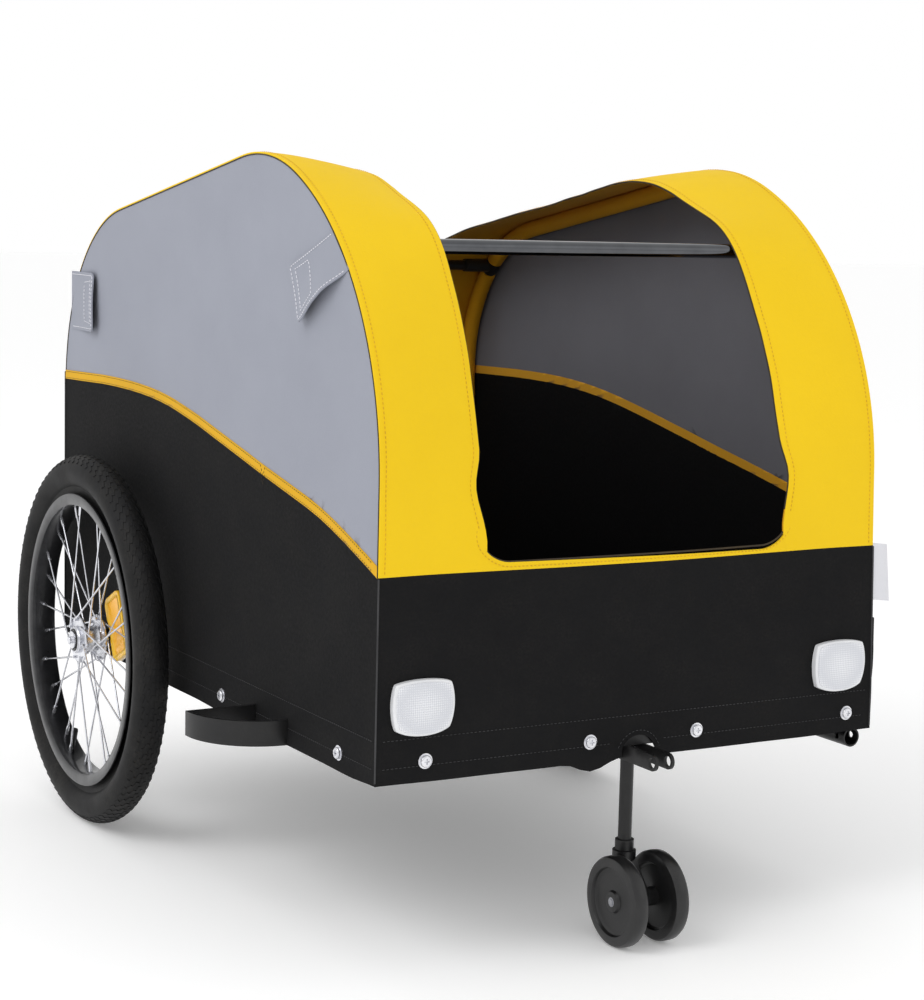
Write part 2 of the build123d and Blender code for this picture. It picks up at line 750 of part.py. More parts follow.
def caster_axle():
    outer = caster_half_track + caster_width / 2
    pin = rod_x(caster_axle_radius, -outer, outer, caster_axle_y, caster_axle_z)
    for side in (-1, 1):
        start = side * (outer - caster_face_recess + 2 * seam_gap)
        pin += rod_x(caster_cap_radius, start, start + side * caster_cap_thickness, caster_axle_y, caster_axle_z)
    return pin


def caster_wheel():
    """Right-hand caster wheel: rounded tread, recessed faces and a hub that reaches the fork."""
    plane = Plane(origin=(caster_half_track, caster_axle_y, caster_axle_z), x_dir=(1, 0, 0), z_dir=(0, -1, 0))
    half = caster_width / 2
    inner_ring = caster_radius - caster_tread_width
    tread = Pos(0, (inner_ring + caster_radius) / 2) * RectangleRounded(caster_width, caster_tread_width, 3.5)
    web = ring_section(half - caster_face_recess, 0, inner_ring + 1)
    hub_reach = caster_half_track - fork_half_width - seam_gap
    hub_part = Pos((half - caster_face_recess - hub_reach) / 2, 0) * ring_section(
        (half - caster_face_recess + hub_reach) / 2, 0, 9)
    section = tread + web + hub_part
    section -= ring_section(very_large, 0, caster_axle_radius + fit)
    section &= Pos(0, very_large / 2) * Rectangle(very_large, very_large)
    return revolve(plane * section, axis=Axis((0, caster_axle_y, caster_axle_z), (1, 0, 0)))


# --- small fittings ----------------------------------------------------------------------------
def screw_head():
    """Pan-head screw and washer standing along +Z from z = 0, the outside of the cloth."""
    head = Pos(0, 0, washer_thickness + screw_head_height / 2) * Cylinder(screw_head_radius, screw_head_height)
    head = fillet(head.edges().group_by(Axis.Z)[-1], 1.6)
    cross_top = washer_thickness + screw_head_height
    for turn in (0, 90):
        head -= Pos(0, 0, cross_top) * Rot(0, 0, turn) * Box(5, 1.2, 3)
    washer = Pos(0, 0, washer_thickness / 2) * Cylinder(washer_radius, washer_thickness)
    shank = Pos(0, 0, -screw_length / 2) * Cylinder(screw_radius, screw_length)
    return head + washer + shank


def skirt_screws():
    places = []
    for x in front_screw_x:
        places.append(Pos(x, -half_length, front_screw_z) * Rot(90, 0, 0))
        places.append(Pos(x, half_length, front_screw_z) * Rot(-90, 0, 0))
    right_face, _ = leaned_point(half_width, side_screw_z - washer_radius)
    for y in side_screw_y:
        places.append(Pos(right_face, y, side_screw_z) * Rot(0, 90, 0))
        places.append(Pos(-half_width, y, side_screw_z) * Rot(0, -90, 0))
    return [place * screw_head() for place in places]


def reflector(sign_x, sign_y):
    """Housing tray and lens on the outside of an end panel."""
    wall = sign_y * half_length
    plane = Plane(origin=(sign_x * reflector_x, wall, reflector_z), x_dir=(-sign_y, 0, 0), z_dir=(0, sign_y, 0))
    outline = RectangleRounded(reflector_width, reflector_height, reflector_corner)
    inside = RectangleRounded(reflector_width - 2 * reflector_rim, reflector_height - 2 * reflector_rim,
                              reflector_corner - reflector_rim)
    housing = extrude(outline, reflector_depth) - Pos(0, 0, reflector_rim) * extrude(inside, reflector_depth)
    lens = Pos(0, 0, reflector_rim) * extrude(inside, reflector_depth - reflector_rim + 0.5)
    return plane * housing, plane * lens


def flag_sleeve():
    """Stiff sewn pocket on the right-hand side for a flag pole."""
    front = -half_length + sleeve_setback
    x0 = half_width + seam_gap
    body = block(x0, x0 + sleeve_depth, front, front + sleeve_width, sleeve_bottom, sleeve_top)
    body = fillet(body.edges().filter_by(Axis.Z), 4)
    return body - rod_z(flag_pole_radius, sleeve_bottom + cloth, sleeve_top + 1, x0 + sleeve_depth / 2,
                        front + sleeve_width / 2)


def blank_tag():
    start = half_width + seam_gap
    return block(start, start + tag_width, -half_length, -half_length + tag_thickness, tag_bottom, tag_top)


# --- write every piece -------------------------------------------------------------------------
os.makedirs("parts", exist_ok=True)

lower, upper, piping = side_panels()
save("side_lower_left", to_left(lower))
save("side_upper_left", to_left(upper))
save("side_lower_right", lean(lower))
save("side_upper_right", lean(upper))
save("side_piping", to_left(piping), lean(piping))

left_band, right_band, front_hem, rear_hem = cover()
save("cover_band_left", left_band)
save("cover_band_right", right_band)
save("front_hem", front_hem)
save("rear_hem", rear_hem)

front_panel = end_panel(-half_length, -half_length + cloth, front_panel_top, front_screw_x)
front_panel -= rod_y(arch_radius, -half_length - 1, -half_length + cloth + 1, 0, skirt_bottom)
save("front_panel", front_panel)
save("rear_panel", end_panel(half_length - cloth, half_length, rear_panel_top, front_screw_x))
save("floor_panel", floor_panel())
save("floor_board", floor_board())
save("fabric_tabs", *[to_left(tab) for tab in side_tabs()], *[lean(tab) for tab in side_tabs()])

save("front_rail", end_rail(-1))
save("rear_rail", end_rail(1))
save("side_rail_left", to_left(side_rail()))
save("side_rail_right", side_rail())
save("axle_cross_tube", axle_cross_tube())
save("axle_receivers", to_left(axle_receiver()), axle_receiver())
save("hoop_spigots", *hoop_spigots())
save("wheel_guard_left", to_left(wheel_guard()))
save("wheel_guard_right", wheel_guard())
save("drawbar_socket", drawbar_socket())

save("side_hoop_left", to_left(side_hoop()))
save("side_hoop_right", lean(side_hoop()))
save("hoop_sleeve_left", to_left(hoop_sleeve()))
save("hoop_sleeve_right", lean(hoop_sleeve()))
front_bar, front_clip_left, front_clip_right = crossbar(front_bar_y, front_bar_radius)
rear_bar, rear_clip_left, rear_clip_right = crossbar(rear_bar_y, rear_bar_radius)
save("front_crossbar", front_bar)
save("rear_crossbar", rear_bar)
save("crossbar_clips", front_clip_left, front_clip_right, rear_clip_left, rear_clip_right)

for side, place in (("left", to_left), ("right", lambda shape: shape)):
    save(f"tyre_{side}", place(tyre()))
    save(f"rim_{side}", place(rim()))
    save(f"spokes_{side}", *[place(rod) for rod in spokes()])
    save(f"hub_{side}", place(hub()))
    save(f"hub_bearings_{side}", *[place(bearing) for bearing in hub_bearings()])
    save(f"spoke_reflector_{side}", place(spoke_reflector()))
    save(f"axle_button_{side}", place(axle_button()))
    save(f"caster_wheel_{side}", place(caster_wheel()))

save("wheel_axles", to_left(axle()), axle())
save("caster_bracket", caster_bracket())
save("pivot_bolt", pivot_bolt())
save("clamp_nut", clamp_nut())
save("caster_leg", caster_leg())
save("caster_fork", caster_fork())
save("caster_axle", caster_axle())

save("skirt_screws", *skirt_screws())
front_pairs = [reflector(side, -1) for side in (-1, 1)]
rear_pairs = [reflector(side, 1) for side in (-1, 1)]
save("reflector_housings", *[housing for housing, _ in front_pairs + rear_pairs])
save("front_reflector_lenses", *[lens for _, lens in front_pairs])
save("rear_reflector_lenses", *[lens for _, lens in rear_pairs])
save("flag_sleeve", lean(flag_sleeve()))
save("blank_tag", lean(blank_tag()))
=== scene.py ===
import math
import bmesh
import bpy
from bisect import bisect_right
from mathutils import Matrix, Vector, noise


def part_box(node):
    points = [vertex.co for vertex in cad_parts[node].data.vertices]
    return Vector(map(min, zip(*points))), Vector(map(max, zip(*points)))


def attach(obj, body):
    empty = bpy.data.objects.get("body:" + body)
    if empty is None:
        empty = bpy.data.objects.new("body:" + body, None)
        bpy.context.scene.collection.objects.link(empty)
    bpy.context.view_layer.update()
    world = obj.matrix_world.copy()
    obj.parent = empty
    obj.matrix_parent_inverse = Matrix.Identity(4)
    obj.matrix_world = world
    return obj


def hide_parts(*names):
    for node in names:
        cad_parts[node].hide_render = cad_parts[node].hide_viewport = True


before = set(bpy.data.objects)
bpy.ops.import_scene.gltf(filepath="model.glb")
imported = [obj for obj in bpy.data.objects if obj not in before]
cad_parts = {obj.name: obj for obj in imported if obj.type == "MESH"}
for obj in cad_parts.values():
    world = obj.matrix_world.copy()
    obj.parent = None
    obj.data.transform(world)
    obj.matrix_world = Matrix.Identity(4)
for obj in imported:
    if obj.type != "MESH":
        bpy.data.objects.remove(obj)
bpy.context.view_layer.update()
print("frame loaded with", len(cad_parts), "nodes")


# small helpers
def srgb(red, green, blue):
    steps = [c / 255 for c in (red, green, blue)]
    return (*[c / 12.92 if c <= 0.04045 else ((c + 0.055) / 1.055) ** 2.4 for c in steps], 1.0)


def ease(value):
    value = min(1.0, max(0.0, value))
    return value * value * (3 - 2 * value)


def bump(value):
    return 0.5 + 0.5 * math.cos(math.pi * min(1.0, abs(value)))


def ripple(y, z, size, seed):
    return noise.noise(Vector((y / size, z / size, seed)))


def finishPiece(bm, name, materials, body, replaced=(), sharpAngle=35):
    mesh = bpy.data.meshes.new(name)
    bm.to_mesh(mesh)
    bm.free()
    piece = bpy.data.objects.new(name, mesh)
    bpy.context.scene.collection.objects.link(piece)
    for material in materials:
        mesh.materials.append(material)
    mesh.shade_smooth()
    mesh.set_sharp_from_angle(angle=math.radians(sharpAngle))
    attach(piece, body)
    if replaced:
        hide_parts(*replaced)
    return piece


def mergedCopy(nodeName, triangles=False):
    bm = bmesh.new()
    bm.from_mesh(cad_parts[nodeName].data)
    bmesh.ops.remove_doubles(bm, verts=bm.verts, dist=2e-6)
    bmesh.ops.dissolve_limit(bm, angle_limit=math.radians(0.8), verts=bm.verts, edges=bm.edges)
    if triangles:
        bmesh.ops.triangulate(bm, faces=bm.faces[:])
    return bm


def joinInto(bm, part):
    mesh = bpy.data.meshes.new("joined")
    part.to_mesh(mesh)
    part.free()
    bm.from_mesh(mesh)
    bpy.data.meshes.remove(mesh)


def cutAt(bm, axis, at):
    normal = Vector([float(axis == k) for k in range(3)])
    bmesh.ops.bisect_plane(bm, geom=bm.verts[:] + bm.edges[:] + bm.faces[:], dist=1e-6,
                           plane_co=normal * at, plane_no=normal)


def cutAcross(bm, axis, low, high, step):
    count = max(1, round((high - low) / step))
    for index in range(1, count):
        cutAt(bm, axis, low + (high - low) * index / count)


def mapCloth(bm, place):
    layer = bm.loops.layers.uv.new("clothMap")
    for face in bm.faces:
        for loop in face.loops:
            loop[layer].uv = place(loop.vert.co)


def mapFlat(bm, first, second):
    mapCloth(bm, lambda spot: (spot[first], spot[second]))


def clothGrid(grid, size):
    # a flat sheet from -0.5 to 0.5 both ways, with its weave at real size
    bm = bmesh.new()
    bmesh.ops.create_grid(bm, x_segments=grid[0], y_segments=grid[1], size=0.5)
    mapCloth(bm, lambda spot: (spot.x * size[0], spot.y * size[1]))
    return bm


def turnOut(bm, axis, sign):
    bm.normal_update()
    if sum(face.normal[axis] * face.calc_area() for face in bm.faces) * sign < 0:
        bmesh.ops.reverse_faces(bm, faces=bm.faces[:])


def roundEdges(bm, angle, radius, segments):
    sharp = [edge for edge in bm.edges if len(edge.link_faces) == 2 and edge.calc_face_angle(0) > angle]
    bmesh.ops.bevel(bm, geom=sharp, offset=radius, offset_type="OFFSET", segments=segments, profile=0.5,
                    affect="EDGES", material=-1)


def clothArea(bm):
    return sum(face.calc_area() for face in bm.faces) / 2


# shader groups: the effects that several finishes share
def newGroup(name, inputs, outputs):
    tree = bpy.data.node_groups.new(name, "ShaderNodeTree")
    for label, kind, value in inputs:
        socket = tree.interface.new_socket(name=label, in_out="INPUT", socket_type=kind)
        if value is not None:
            socket.default_value = value
    for label, kind in outputs:
        tree.interface.new_socket(name=label, in_out="OUTPUT", socket_type=kind)
    return tree, tree.nodes.new("NodeGroupInput"), tree.nodes.new("NodeGroupOutput")


def mathNode(tree, operation, first, second=None):
    node = tree.nodes.new("ShaderNodeMath")
    node.operation = operation
    for index, value in enumerate((first, second)):
        if value is None:
            continue
        if isinstance(value, (int, float)):
            node.inputs[index].default_value = value
        else:
            tree.links.new(value, node.inputs[index])
    return node.outputs[0]


def noiseNode(tree, vector, scale, detail=3.0, roughness=0.5):
    node = tree.nodes.new("ShaderNodeTexNoise")
    node.inputs["Scale"].default_value = scale
    node.inputs["Detail"].default_value = detail
    node.inputs["Roughness"].default_value = roughness
    tree.links.new(vector, node.inputs["Vector"])
    return node.outputs["Fac"]


def mixColour(tree, factor, first, second):
    node = tree.nodes.new("ShaderNodeMix")
    node.data_type = "RGBA"
    tree.links.new(factor, node.inputs[0])
    for value, socket in ((first, node.inputs[6]), (second, node.inputs[7])):
        if isinstance(value, tuple):
            socket.default_value = value
        else:
            tree.links.new(value, socket)
    return node.outputs[2]


def spread(tree, value, low, high, toLow=0.0, toHigh=1.0):
    node = tree.nodes.new("ShaderNodeMapRange")
    for label, number in (("From Min", low), ("From Max", high), ("To Min", toLow), ("To Max", toHigh)):
        node.inputs[label].default_value = number
    tree.links.new(value, node.inputs["Value"])
    return node.outputs["Result"]


def feed(tree, node, sockets):
    for label, value in sockets.items():
        if isinstance(value, bpy.types.NodeSocket):
            tree.links.new(value, node.inputs[label])
        else:
            node.inputs[label].default_value = value


colourKind, valueKind, vectorKind = "NodeSocketColor", "NodeSocketFloat", "NodeSocketVector"
surfaceOutputs = [("Color", colourKind), ("Roughness", valueKind), ("Height", valueKind)]
# each noise is its scale, its detail and its roughness
weaving = {"slub": (260.0, 2.0), "cloud": (7.0, 5.0, 0.6), "cloudSpan": (0.3, 0.75), "relief": 0.5,
           "tone": 0.22, "roughness": (0.66, 0.86)}
grains = {
    "mouldGrain": {"fine": (1800.0, 2.0), "flow": (30.0, 4.0, 0.6), "flowSpan": (0.3, 0.7), "relief": 0.4},
    "drawnSteel": {"fine": (900.0, 3.0), "flow": (60.0, 4.0, 0.65), "flowSpan": (0.4, 0.75), "relief": 0.0},
}
dusting = {"patch": (22.0, 6.0, 0.7), "patchSpan": (0.42, 0.72), "speck": (420.0, 2.0),
           "speckSpan": (0.35, 0.65)}


def makeWovenCloth():
    tree, source, target = newGroup(
        "wovenCloth",
        [("Map", vectorKind, None), ("Threads", valueKind, 1400.0), ("Light", colourKind, None),
         ("Dark", colourKind, None), ("Drift", valueKind, 0.35)], surfaceOutputs)
    given = source.outputs
    split = tree.nodes.new("ShaderNodeSeparateXYZ")
    tree.links.new(given["Map"], split.inputs[0])
    turns = mathNode(tree, "MULTIPLY", given["Threads"], math.pi)
    warp, weft = [mathNode(tree, "SINE", mathNode(tree, "MULTIPLY", split.outputs[k], turns)) for k in (0, 1)]
    cross = mathNode(tree, "MULTIPLY", warp, weft)
    slub = noiseNode(tree, given["Map"], *weaving["slub"])
    height = mathNode(tree, "ADD", mathNode(tree, "MULTIPLY", cross, weaving["relief"]), slub)
    cloudy = noiseNode(tree, given["Map"], *weaving["cloud"])
    fade = mathNode(tree, "MULTIPLY", spread(tree, cloudy, *weaving["cloudSpan"]), given["Drift"])
    # threads darkens the low parts of the weave, painted shade in the weave's hollows; fade adds random cloud
    # tone on top
    threads = mathNode(tree, "MULTIPLY", spread(tree, height, 0.0, 1.1), weaving["tone"])
    tone = mathNode(tree, "ADD", fade, mathNode(tree, "SUBTRACT", weaving["tone"], threads))
    feed(tree, target, {"Color": mixColour(tree, tone, given["Light"], given["Dark"]),
                        "Roughness": spread(tree, slub, 0.2, 0.8, *weaving["roughness"]), "Height": height})
    return tree


def makeGrain(name):
    grain = grains[name]
    tree, source, target = newGroup(
        name,
        [("Map", vectorKind, None), ("Light", colourKind, None), ("Dark", colourKind, None),
         ("Smooth", valueKind, 0.35), ("Rough", valueKind, 0.55)], surfaceOutputs)
    given = source.outputs
    fine = noiseNode(tree, given["Map"], *grain["fine"])
    flow = noiseNode(tree, given["Map"], *grain["flow"])
    patches = spread(tree, flow, *grain["flowSpan"])
    span = mathNode(tree, "SUBTRACT", given["Rough"], given["Smooth"])
    feed(tree, target, {
        "Color": mixColour(tree, patches, given["Light"], given["Dark"]),
        "Roughness": mathNode(tree, "ADD", given["Smooth"], mathNode(tree, "MULTIPLY", flow, span)),
        "Height": mathNode(tree, "ADD", mathNode(tree, "MULTIPLY", flow, grain["relief"]), fine)})
    return tree


def makeRoadDust():
    tree, source, target = newGroup(
        "roadDust",
        [("Map", vectorKind, None), ("Color", colourKind, None), ("Dust", colourKind, None),
         ("Amount", valueKind, 0.15)],
        [("Color", colourKind), ("Mask", valueKind)])
    given = source.outputs
    patch = spread(tree, noiseNode(tree, given["Map"], *dusting["patch"]), *dusting["patchSpan"])
    speck = spread(tree, noiseNode(tree, given["Map"], *dusting["speck"]), *dusting["speckSpan"])
    mask = mathNode(tree, "MULTIPLY", mathNode(tree, "MULTIPLY", patch, speck), given["Amount"])
    feed(tree, target, {"Color": mixColour(tree, mask, given["Color"], given["Dust"]), "Mask": mask})
    return tree


def makePrismFace():
    tree, source, target = newGroup(
        "prismFace",
        [("Map", vectorKind, None), ("Cells", valueKind, 450.0), ("Light", colourKind, None),
         ("Dark", colourKind, None)],
        [("Color", colourKind), ("Height", valueKind)])
    given = source.outputs
    scaled = tree.nodes.new("ShaderNodeVectorMath")
    scaled.operation = "SCALE"
    tree.links.new(given["Map"], scaled.inputs[0])
    tree.links.new(given["Cells"], scaled.inputs["Scale"])
    cells = tree.nodes.new("ShaderNodeTexVoronoi")
    cells.feature = "F1"
    cells.distance = "MANHATTAN"
    feed(tree, cells, {"Scale": 1.0, "Randomness": 0.0, "Vector": scaled.outputs[0]})
    facet = spread(tree, cells.outputs["Distance"], 0.1, 0.9)
    feed(tree, target, {"Color": mixColour(tree, facet, given["Light"], given["Dark"]), "Height": facet})
    return tree


groups = {"wovenCloth": makeWovenCloth(), "mouldGrain": makeGrain("mouldGrain"),
          "drawnSteel": makeGrain("drawnSteel"), "roadDust": makeRoadDust(), "prismFace": makePrismFace()}
print("shader groups made:", ", ".join(groups))


# finishes: Principled surfaces fed by the shared groups
def newFinish(name, constants):
    material = bpy.data.materials.new(name)
    material.use_nodes = True
    shader = material.node_tree.nodes["Principled BSDF"]
    feed(material.node_tree, shader, constants)
    return material, material.node_tree, shader


def placeGroup(tree, groupName, values):
    node = tree.nodes.new("ShaderNodeGroup")
    node.node_tree = groups[groupName]
    feed(tree, node, values)
    return node


def addDust(tree, place, colour, dust, amount):
    if not amount:
        return colour
    given = {"Map": place, "Color": colour, "Dust": srgb(*dust), "Amount": amount}
    return placeGroup(tree, "roadDust", given).outputs["Color"]


def addBump(tree, shader, height, strength, distance):
    node = tree.nodes.new("ShaderNodeBump")
    feed(tree, node, {"Strength": strength, "Distance": distance, "Height": height})
    feed(tree, shader, {"Normal": node.outputs["Normal"]})


def clothFinish(name, light, dark, threads=1400.0, drift=0.35, sheen=0.2, dust=0.0, gloss=0.2):
    material, tree, shader = newFinish(name, {"Sheen Weight": sheen, "Sheen Roughness": 0.4,
                                              "Specular IOR Level": gloss})
    coordinates = tree.nodes.new("ShaderNodeUVMap")
    coordinates.uv_map = "clothMap"
    place = coordinates.outputs[0]
    weave = placeGroup(tree, "wovenCloth", {"Map": place, "Threads": threads, "Light": srgb(*light),
                                            "Dark": srgb(*dark), "Drift": drift})
    feed(tree, shader, {"Base Color": addDust(tree, place, weave.outputs["Color"], (120, 112, 100), dust),
                        "Roughness": weave.outputs["Roughness"]})
    addBump(tree, shader, weave.outputs["Height"], 0.35, 0.0004)
    return material


def solidFinish(name, groupName, light, dark, smooth, rough, strength=0.15, dust=0.0, **constants):
    labels = {key.replace("_", " "): value for key, value in constants.items()}
    material, tree, shader = newFinish(name, labels)
    place = tree.nodes.new("ShaderNodeTexCoord").outputs["Object"]
    body = placeGroup(tree, groupName, {"Map": place, "Light": srgb(*light), "Dark": srgb(*dark),
                                        "Smooth": smooth, "Rough": rough})
    feed(tree, shader, {"Base Color": addDust(tree, place, body.outputs["Color"], (125, 118, 105), dust),
                        "Roughness": body.outputs["Roughness"]})
    addBump(tree, shader, body.outputs["Height"], strength, 0.0002)
    return material


def lensFinish(name, light, dark, cells, paintedGlow):
    # the lens emits its own colour: a painted glow, though it is no lamp
    material, tree, shader = newFinish(name, {"Roughness": 0.12, "Specular IOR Level": 0.6,
                                              "Coat Weight": 0.6, "Coat Roughness": 0.05,
                                              "Emission Strength": paintedGlow})
    place = tree.nodes.new("ShaderNodeTexCoord").outputs["Object"]
    face = placeGroup(tree, "prismFace", {"Map": place, "Cells": cells, "Light": srgb(*light),
                                          "Dark": srgb(*dark)})
    feed(tree, shader, {"Base Color": face.outputs["Color"], "Emission Color": face.outputs["Color"]})
    addBump(tree, shader, face.outputs["Height"], 0.5, 0.0006)
    return material


# light and dark colour, then what differs from the usual cloth
cloths = {
    "clothBlack": ((27, 27, 28), (17, 17, 18), {"sheen": 0.0, "dust": 0.03, "gloss": 0.08}),
    "clothGrey": ((152, 155, 166), (134, 137, 148), {"sheen": 0.08}),
    "clothYellow": ((244, 204, 26), (230, 187, 15), {"drift": 0.3, "sheen": 0.03}),
    # the lining finishes are the same cloths painted darker for their inner faces: painted shade
    "liningBlack": ((18, 18, 19), (11, 11, 12), {"sheen": 0.0, "gloss": 0.06}),
    "liningGrey": ((112, 112, 118), (92, 92, 98), {"sheen": 0.1}),
    "liningYellow": ((226, 164, 26), (200, 140, 18), {"sheen": 0.03}),
    "pipingYellow": ((222, 170, 16), (196, 146, 10), {"threads": 900.0, "sheen": 0.1}),
    # the piping's inner face is the piping painted darker: painted shade
    "shadedLiningPiping": ((214, 156, 30), (190, 134, 22), {"threads": 900.0}),
    "tagWhite": ((230, 230, 234), (212, 213, 220), {"threads": 2400.0, "sheen": 0.05}),
}
# group, light and dark colour, least and most roughness, then what differs from plain plastic or steel
solids = {
    "edgeBinding": ("mouldGrain", (58, 44, 16), (36, 28, 12), 0.6, 0.8, {}),
    "threadWhite": ("mouldGrain", (236, 236, 240), (214, 214, 220), 0.5, 0.7, {}),
    "threadYellow": ("mouldGrain", (226, 176, 18), (190, 142, 12), 0.5, 0.7, {}),
    "threadBlack": ("mouldGrain", (58, 58, 60), (38, 38, 40), 0.5, 0.7, {}),
    "frameBlack": ("mouldGrain", (27, 27, 28), (17, 17, 18), 0.26, 0.44,
                   {"dust": 0.03, "Specular_IOR_Level": 0.35}),
    "barSteel": ("drawnSteel", (74, 76, 80), (62, 64, 68), 0.05, 0.12,
                 {"Metallic": 1.0, "Coat_Weight": 1.0, "Coat_Roughness": 0.06}),
    "barBlack": ("mouldGrain", (26, 26, 27), (16, 16, 17), 0.22, 0.4, {}),
    "rubberTyre": ("mouldGrain", (24, 24, 25), (14, 14, 15), 0.5, 0.72,
                   {"strength": 0.3, "dust": 0.08, "Specular_IOR_Level": 0.2}),
    "rimBlack": ("drawnSteel", (48, 48, 50), (28, 28, 30), 0.22, 0.42, {"Metallic": 0.6, "Coat_Weight": 0.3}),
    "spokeSteel": ("drawnSteel", (226, 227, 232), (190, 191, 198), 0.14, 0.3, {"Metallic": 0.9}),
    "hubSteel": ("drawnSteel", (228, 229, 234), (180, 182, 190), 0.16, 0.32, {"Metallic": 0.95}),
    "bearingSteel": ("drawnSteel", (150, 151, 156), (96, 97, 104), 0.2, 0.4, {"Metallic": 1.0}),
    "screwSteel": ("drawnSteel", (232, 232, 236), (196, 198, 204), 0.18, 0.34, {"Metallic": 0.9}),
    "plasticBlack": ("mouldGrain", (27, 27, 28), (18, 18, 19), 0.34, 0.5, {"strength": 0.25, "dust": 0.03}),
    "casterBlack": ("mouldGrain", (28, 28, 29), (18, 18, 19), 0.26, 0.42, {"strength": 0.2, "dust": 0.05}),
    "capGrey": ("drawnSteel", (176, 177, 182), (140, 141, 148), 0.25, 0.4, {"Metallic": 0.7}),
    "trayWhite": ("mouldGrain", (236, 237, 239), (222, 223, 226), 0.25, 0.4, {}),
    "boardBlack": ("mouldGrain", (30, 30, 31), (20, 20, 21), 0.45, 0.62, {"strength": 0.4, "dust": 0.1}),
    "lensAmberSmooth": ("mouldGrain", (250, 204, 44), (238, 180, 26), 0.12, 0.25, {"Coat_Weight": 0.5}),
}
# light and dark colour, prisms to the metre, painted glow (the lens's own emission standing in for light sent
# back)
lenses = {
    "lensClear": ((232, 233, 236), (196, 198, 204), 480.0, 0.12),
    "lensRed": ((196, 16, 14), (120, 6, 8), 480.0, 0.06),
    "lensAmber": ((250, 200, 36), (232, 166, 18), 420.0, 0.14),
}
looks = {}
for name, (*colours, extra) in cloths.items():
    looks[name] = clothFinish(name, *colours, **extra)
for name, (*given, extra) in solids.items():
    looks[name] = solidFinish(name, *given, **extra)
for name, given in lenses.items():
    looks[name] = lensFinish(name, *given)
print("finishes made:", len(looks))


def clothPair(kind):
    # the second finish is the inner-face copy of the cloth, painted darker as shade
    return [looks[f"cloth{kind}"], looks[f"lining{kind}"]]


# shape of the cover, in metres, shared by every cloth piece
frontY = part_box("front_panel")[0].y
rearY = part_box("rear_panel")[1].y
midY = (frontY + rearY) / 2
sideX = -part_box("side_lower_left")[0].x
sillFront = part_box("front_panel")[1].z
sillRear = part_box("rear_panel")[1].z
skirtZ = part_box("front_panel")[0].z
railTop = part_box("front_rail")[1].z
barFront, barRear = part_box("front_crossbar"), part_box("rear_crossbar")
axleY = sum(corner.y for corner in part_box("rim_left")) / 2
walls, sills = {-1: frontY, 1: rearY}, {-1: sillFront, 1: sillRear}   # by end: -1 front, 1 rear
sides = (("left", -1), ("right", 1))

cover = {
    "frontCorner": 0.6249, "rearCorner": 0.645, "frontRise": 26.0, "topFall": 9.4,   # top line of the side
    "frontShoulder": 0.296, "crest": 0.215, "rearShoulder": 0.205,                   # corner radii
    "cloth": 0.002, "bandWidth": 0.105, "lean": 2.2, "lineStep": 0.004, "topSteps": 400,
}


def outlineLine(spacing):
    rise, fall = math.tan(math.radians(cover["frontRise"])), math.tan(math.radians(cover["topFall"]))
    half = (rearY - frontY) / 2
    riseAtZero = cover["frontCorner"] + rise * half
    fallAtZero = cover["rearCorner"] + fall * half
    peak = (fallAtZero - riseAtZero) / (rise + fall)
    corners = [Vector((-half, sillFront)), Vector((-half, cover["frontCorner"])),
               Vector((peak, fallAtZero - fall * peak)), Vector((half, cover["rearCorner"])),
               Vector((half, sillRear))]
    radii = [cover["frontShoulder"], cover["crest"], cover["rearShoulder"]]
    line = [corners[0]]
    for index, radius in enumerate(radii):
        before, corner, after = corners[index:index + 3]
        inward, outward = (before - corner).normalized(), (after - corner).normalized()
        turn = math.pi - inward.angle(outward)
        reach = radius * math.tan(turn / 2)
        start = corner + inward * reach
        centre = corner + (inward + outward).normalized() * (radius / math.cos(turn / 2))
        spoke = start - centre
        steps = max(4, round(turn * radius / spacing))
        for step in range(steps + 1):
            angle = -turn * step / steps
            line.append(centre + Vector((spoke.x * math.cos(angle) - spoke.y * math.sin(angle),
                                         spoke.x * math.sin(angle) + spoke.y * math.cos(angle))))
    # the rear shoulder still curves where it meets the rear panel
    line = [point for point in line if point.x < 0 or point.y > sillRear + spacing / 2]
    line.append(corners[-1])
    full = [line[0]]
    for point in line[1:]:
        pieces = max(1, round((point - full[-1]).length / spacing))
        start = full[-1]
        full += [start.lerp(point, k / pieces) for k in range(1, pieces + 1)]
    return [Vector((p.x + midY, p.y)) for p in full]


outline = outlineLine(cover["lineStep"])
lengths = [0.0]
for first, second in zip(outline, outline[1:]):
    lengths.append(lengths[-1] + (second - first).length)
arcLength = lengths[-1]


def outlineAt(distance):
    distance = min(max(distance, 0.0), arcLength)
    low = min(len(lengths) - 2, bisect_right(lengths, distance) - 1)
    share = (distance - lengths[low]) / (lengths[low + 1] - lengths[low])
    point = outline[low].lerp(outline[low + 1], share)
    back, ahead = outline[max(0, low - 2)], outline[min(len(outline) - 1, low + 3)]
    along = (ahead - back).normalized()
    return point, Vector((along.y, -along.x))         # the second is inward, under the cloth


def topHeight(y):
    for first, second in zip(outline, outline[1:]):
        if first.x <= y <= second.x and second.x > first.x:
            return first.y + (second.y - first.y) * (y - first.x) / (second.x - first.x)
    return outline[0].y if y < midY else outline[-1].y


topSteps = cover["topSteps"]
heights = [topHeight(frontY + (rearY - frontY) * k / topSteps) for k in range(topSteps + 1)]


def fromEdge(y, z):
    share = min(1.0, max(0.0, (y - frontY) / (rearY - frontY))) * topSteps
    low = min(topSteps - 1, int(share))
    top = heights[low] + (heights[low + 1] - heights[low]) * (share - low)
    slope = (heights[low + 1] - heights[low]) / ((rearY - frontY) / topSteps)
    return max(0.0, min(y - frontY, rearY - y, (top - z) / math.sqrt(1 + slope * slope)))


def seamX(z, sign):
    if sign < 0:
        return -sideX
    turn = math.radians(cover["lean"])
    inner = sideX - cover["cloth"]
    return inner + cover["cloth"] * math.cos(turn) - max(0.0, z - railTop) * math.sin(turn)


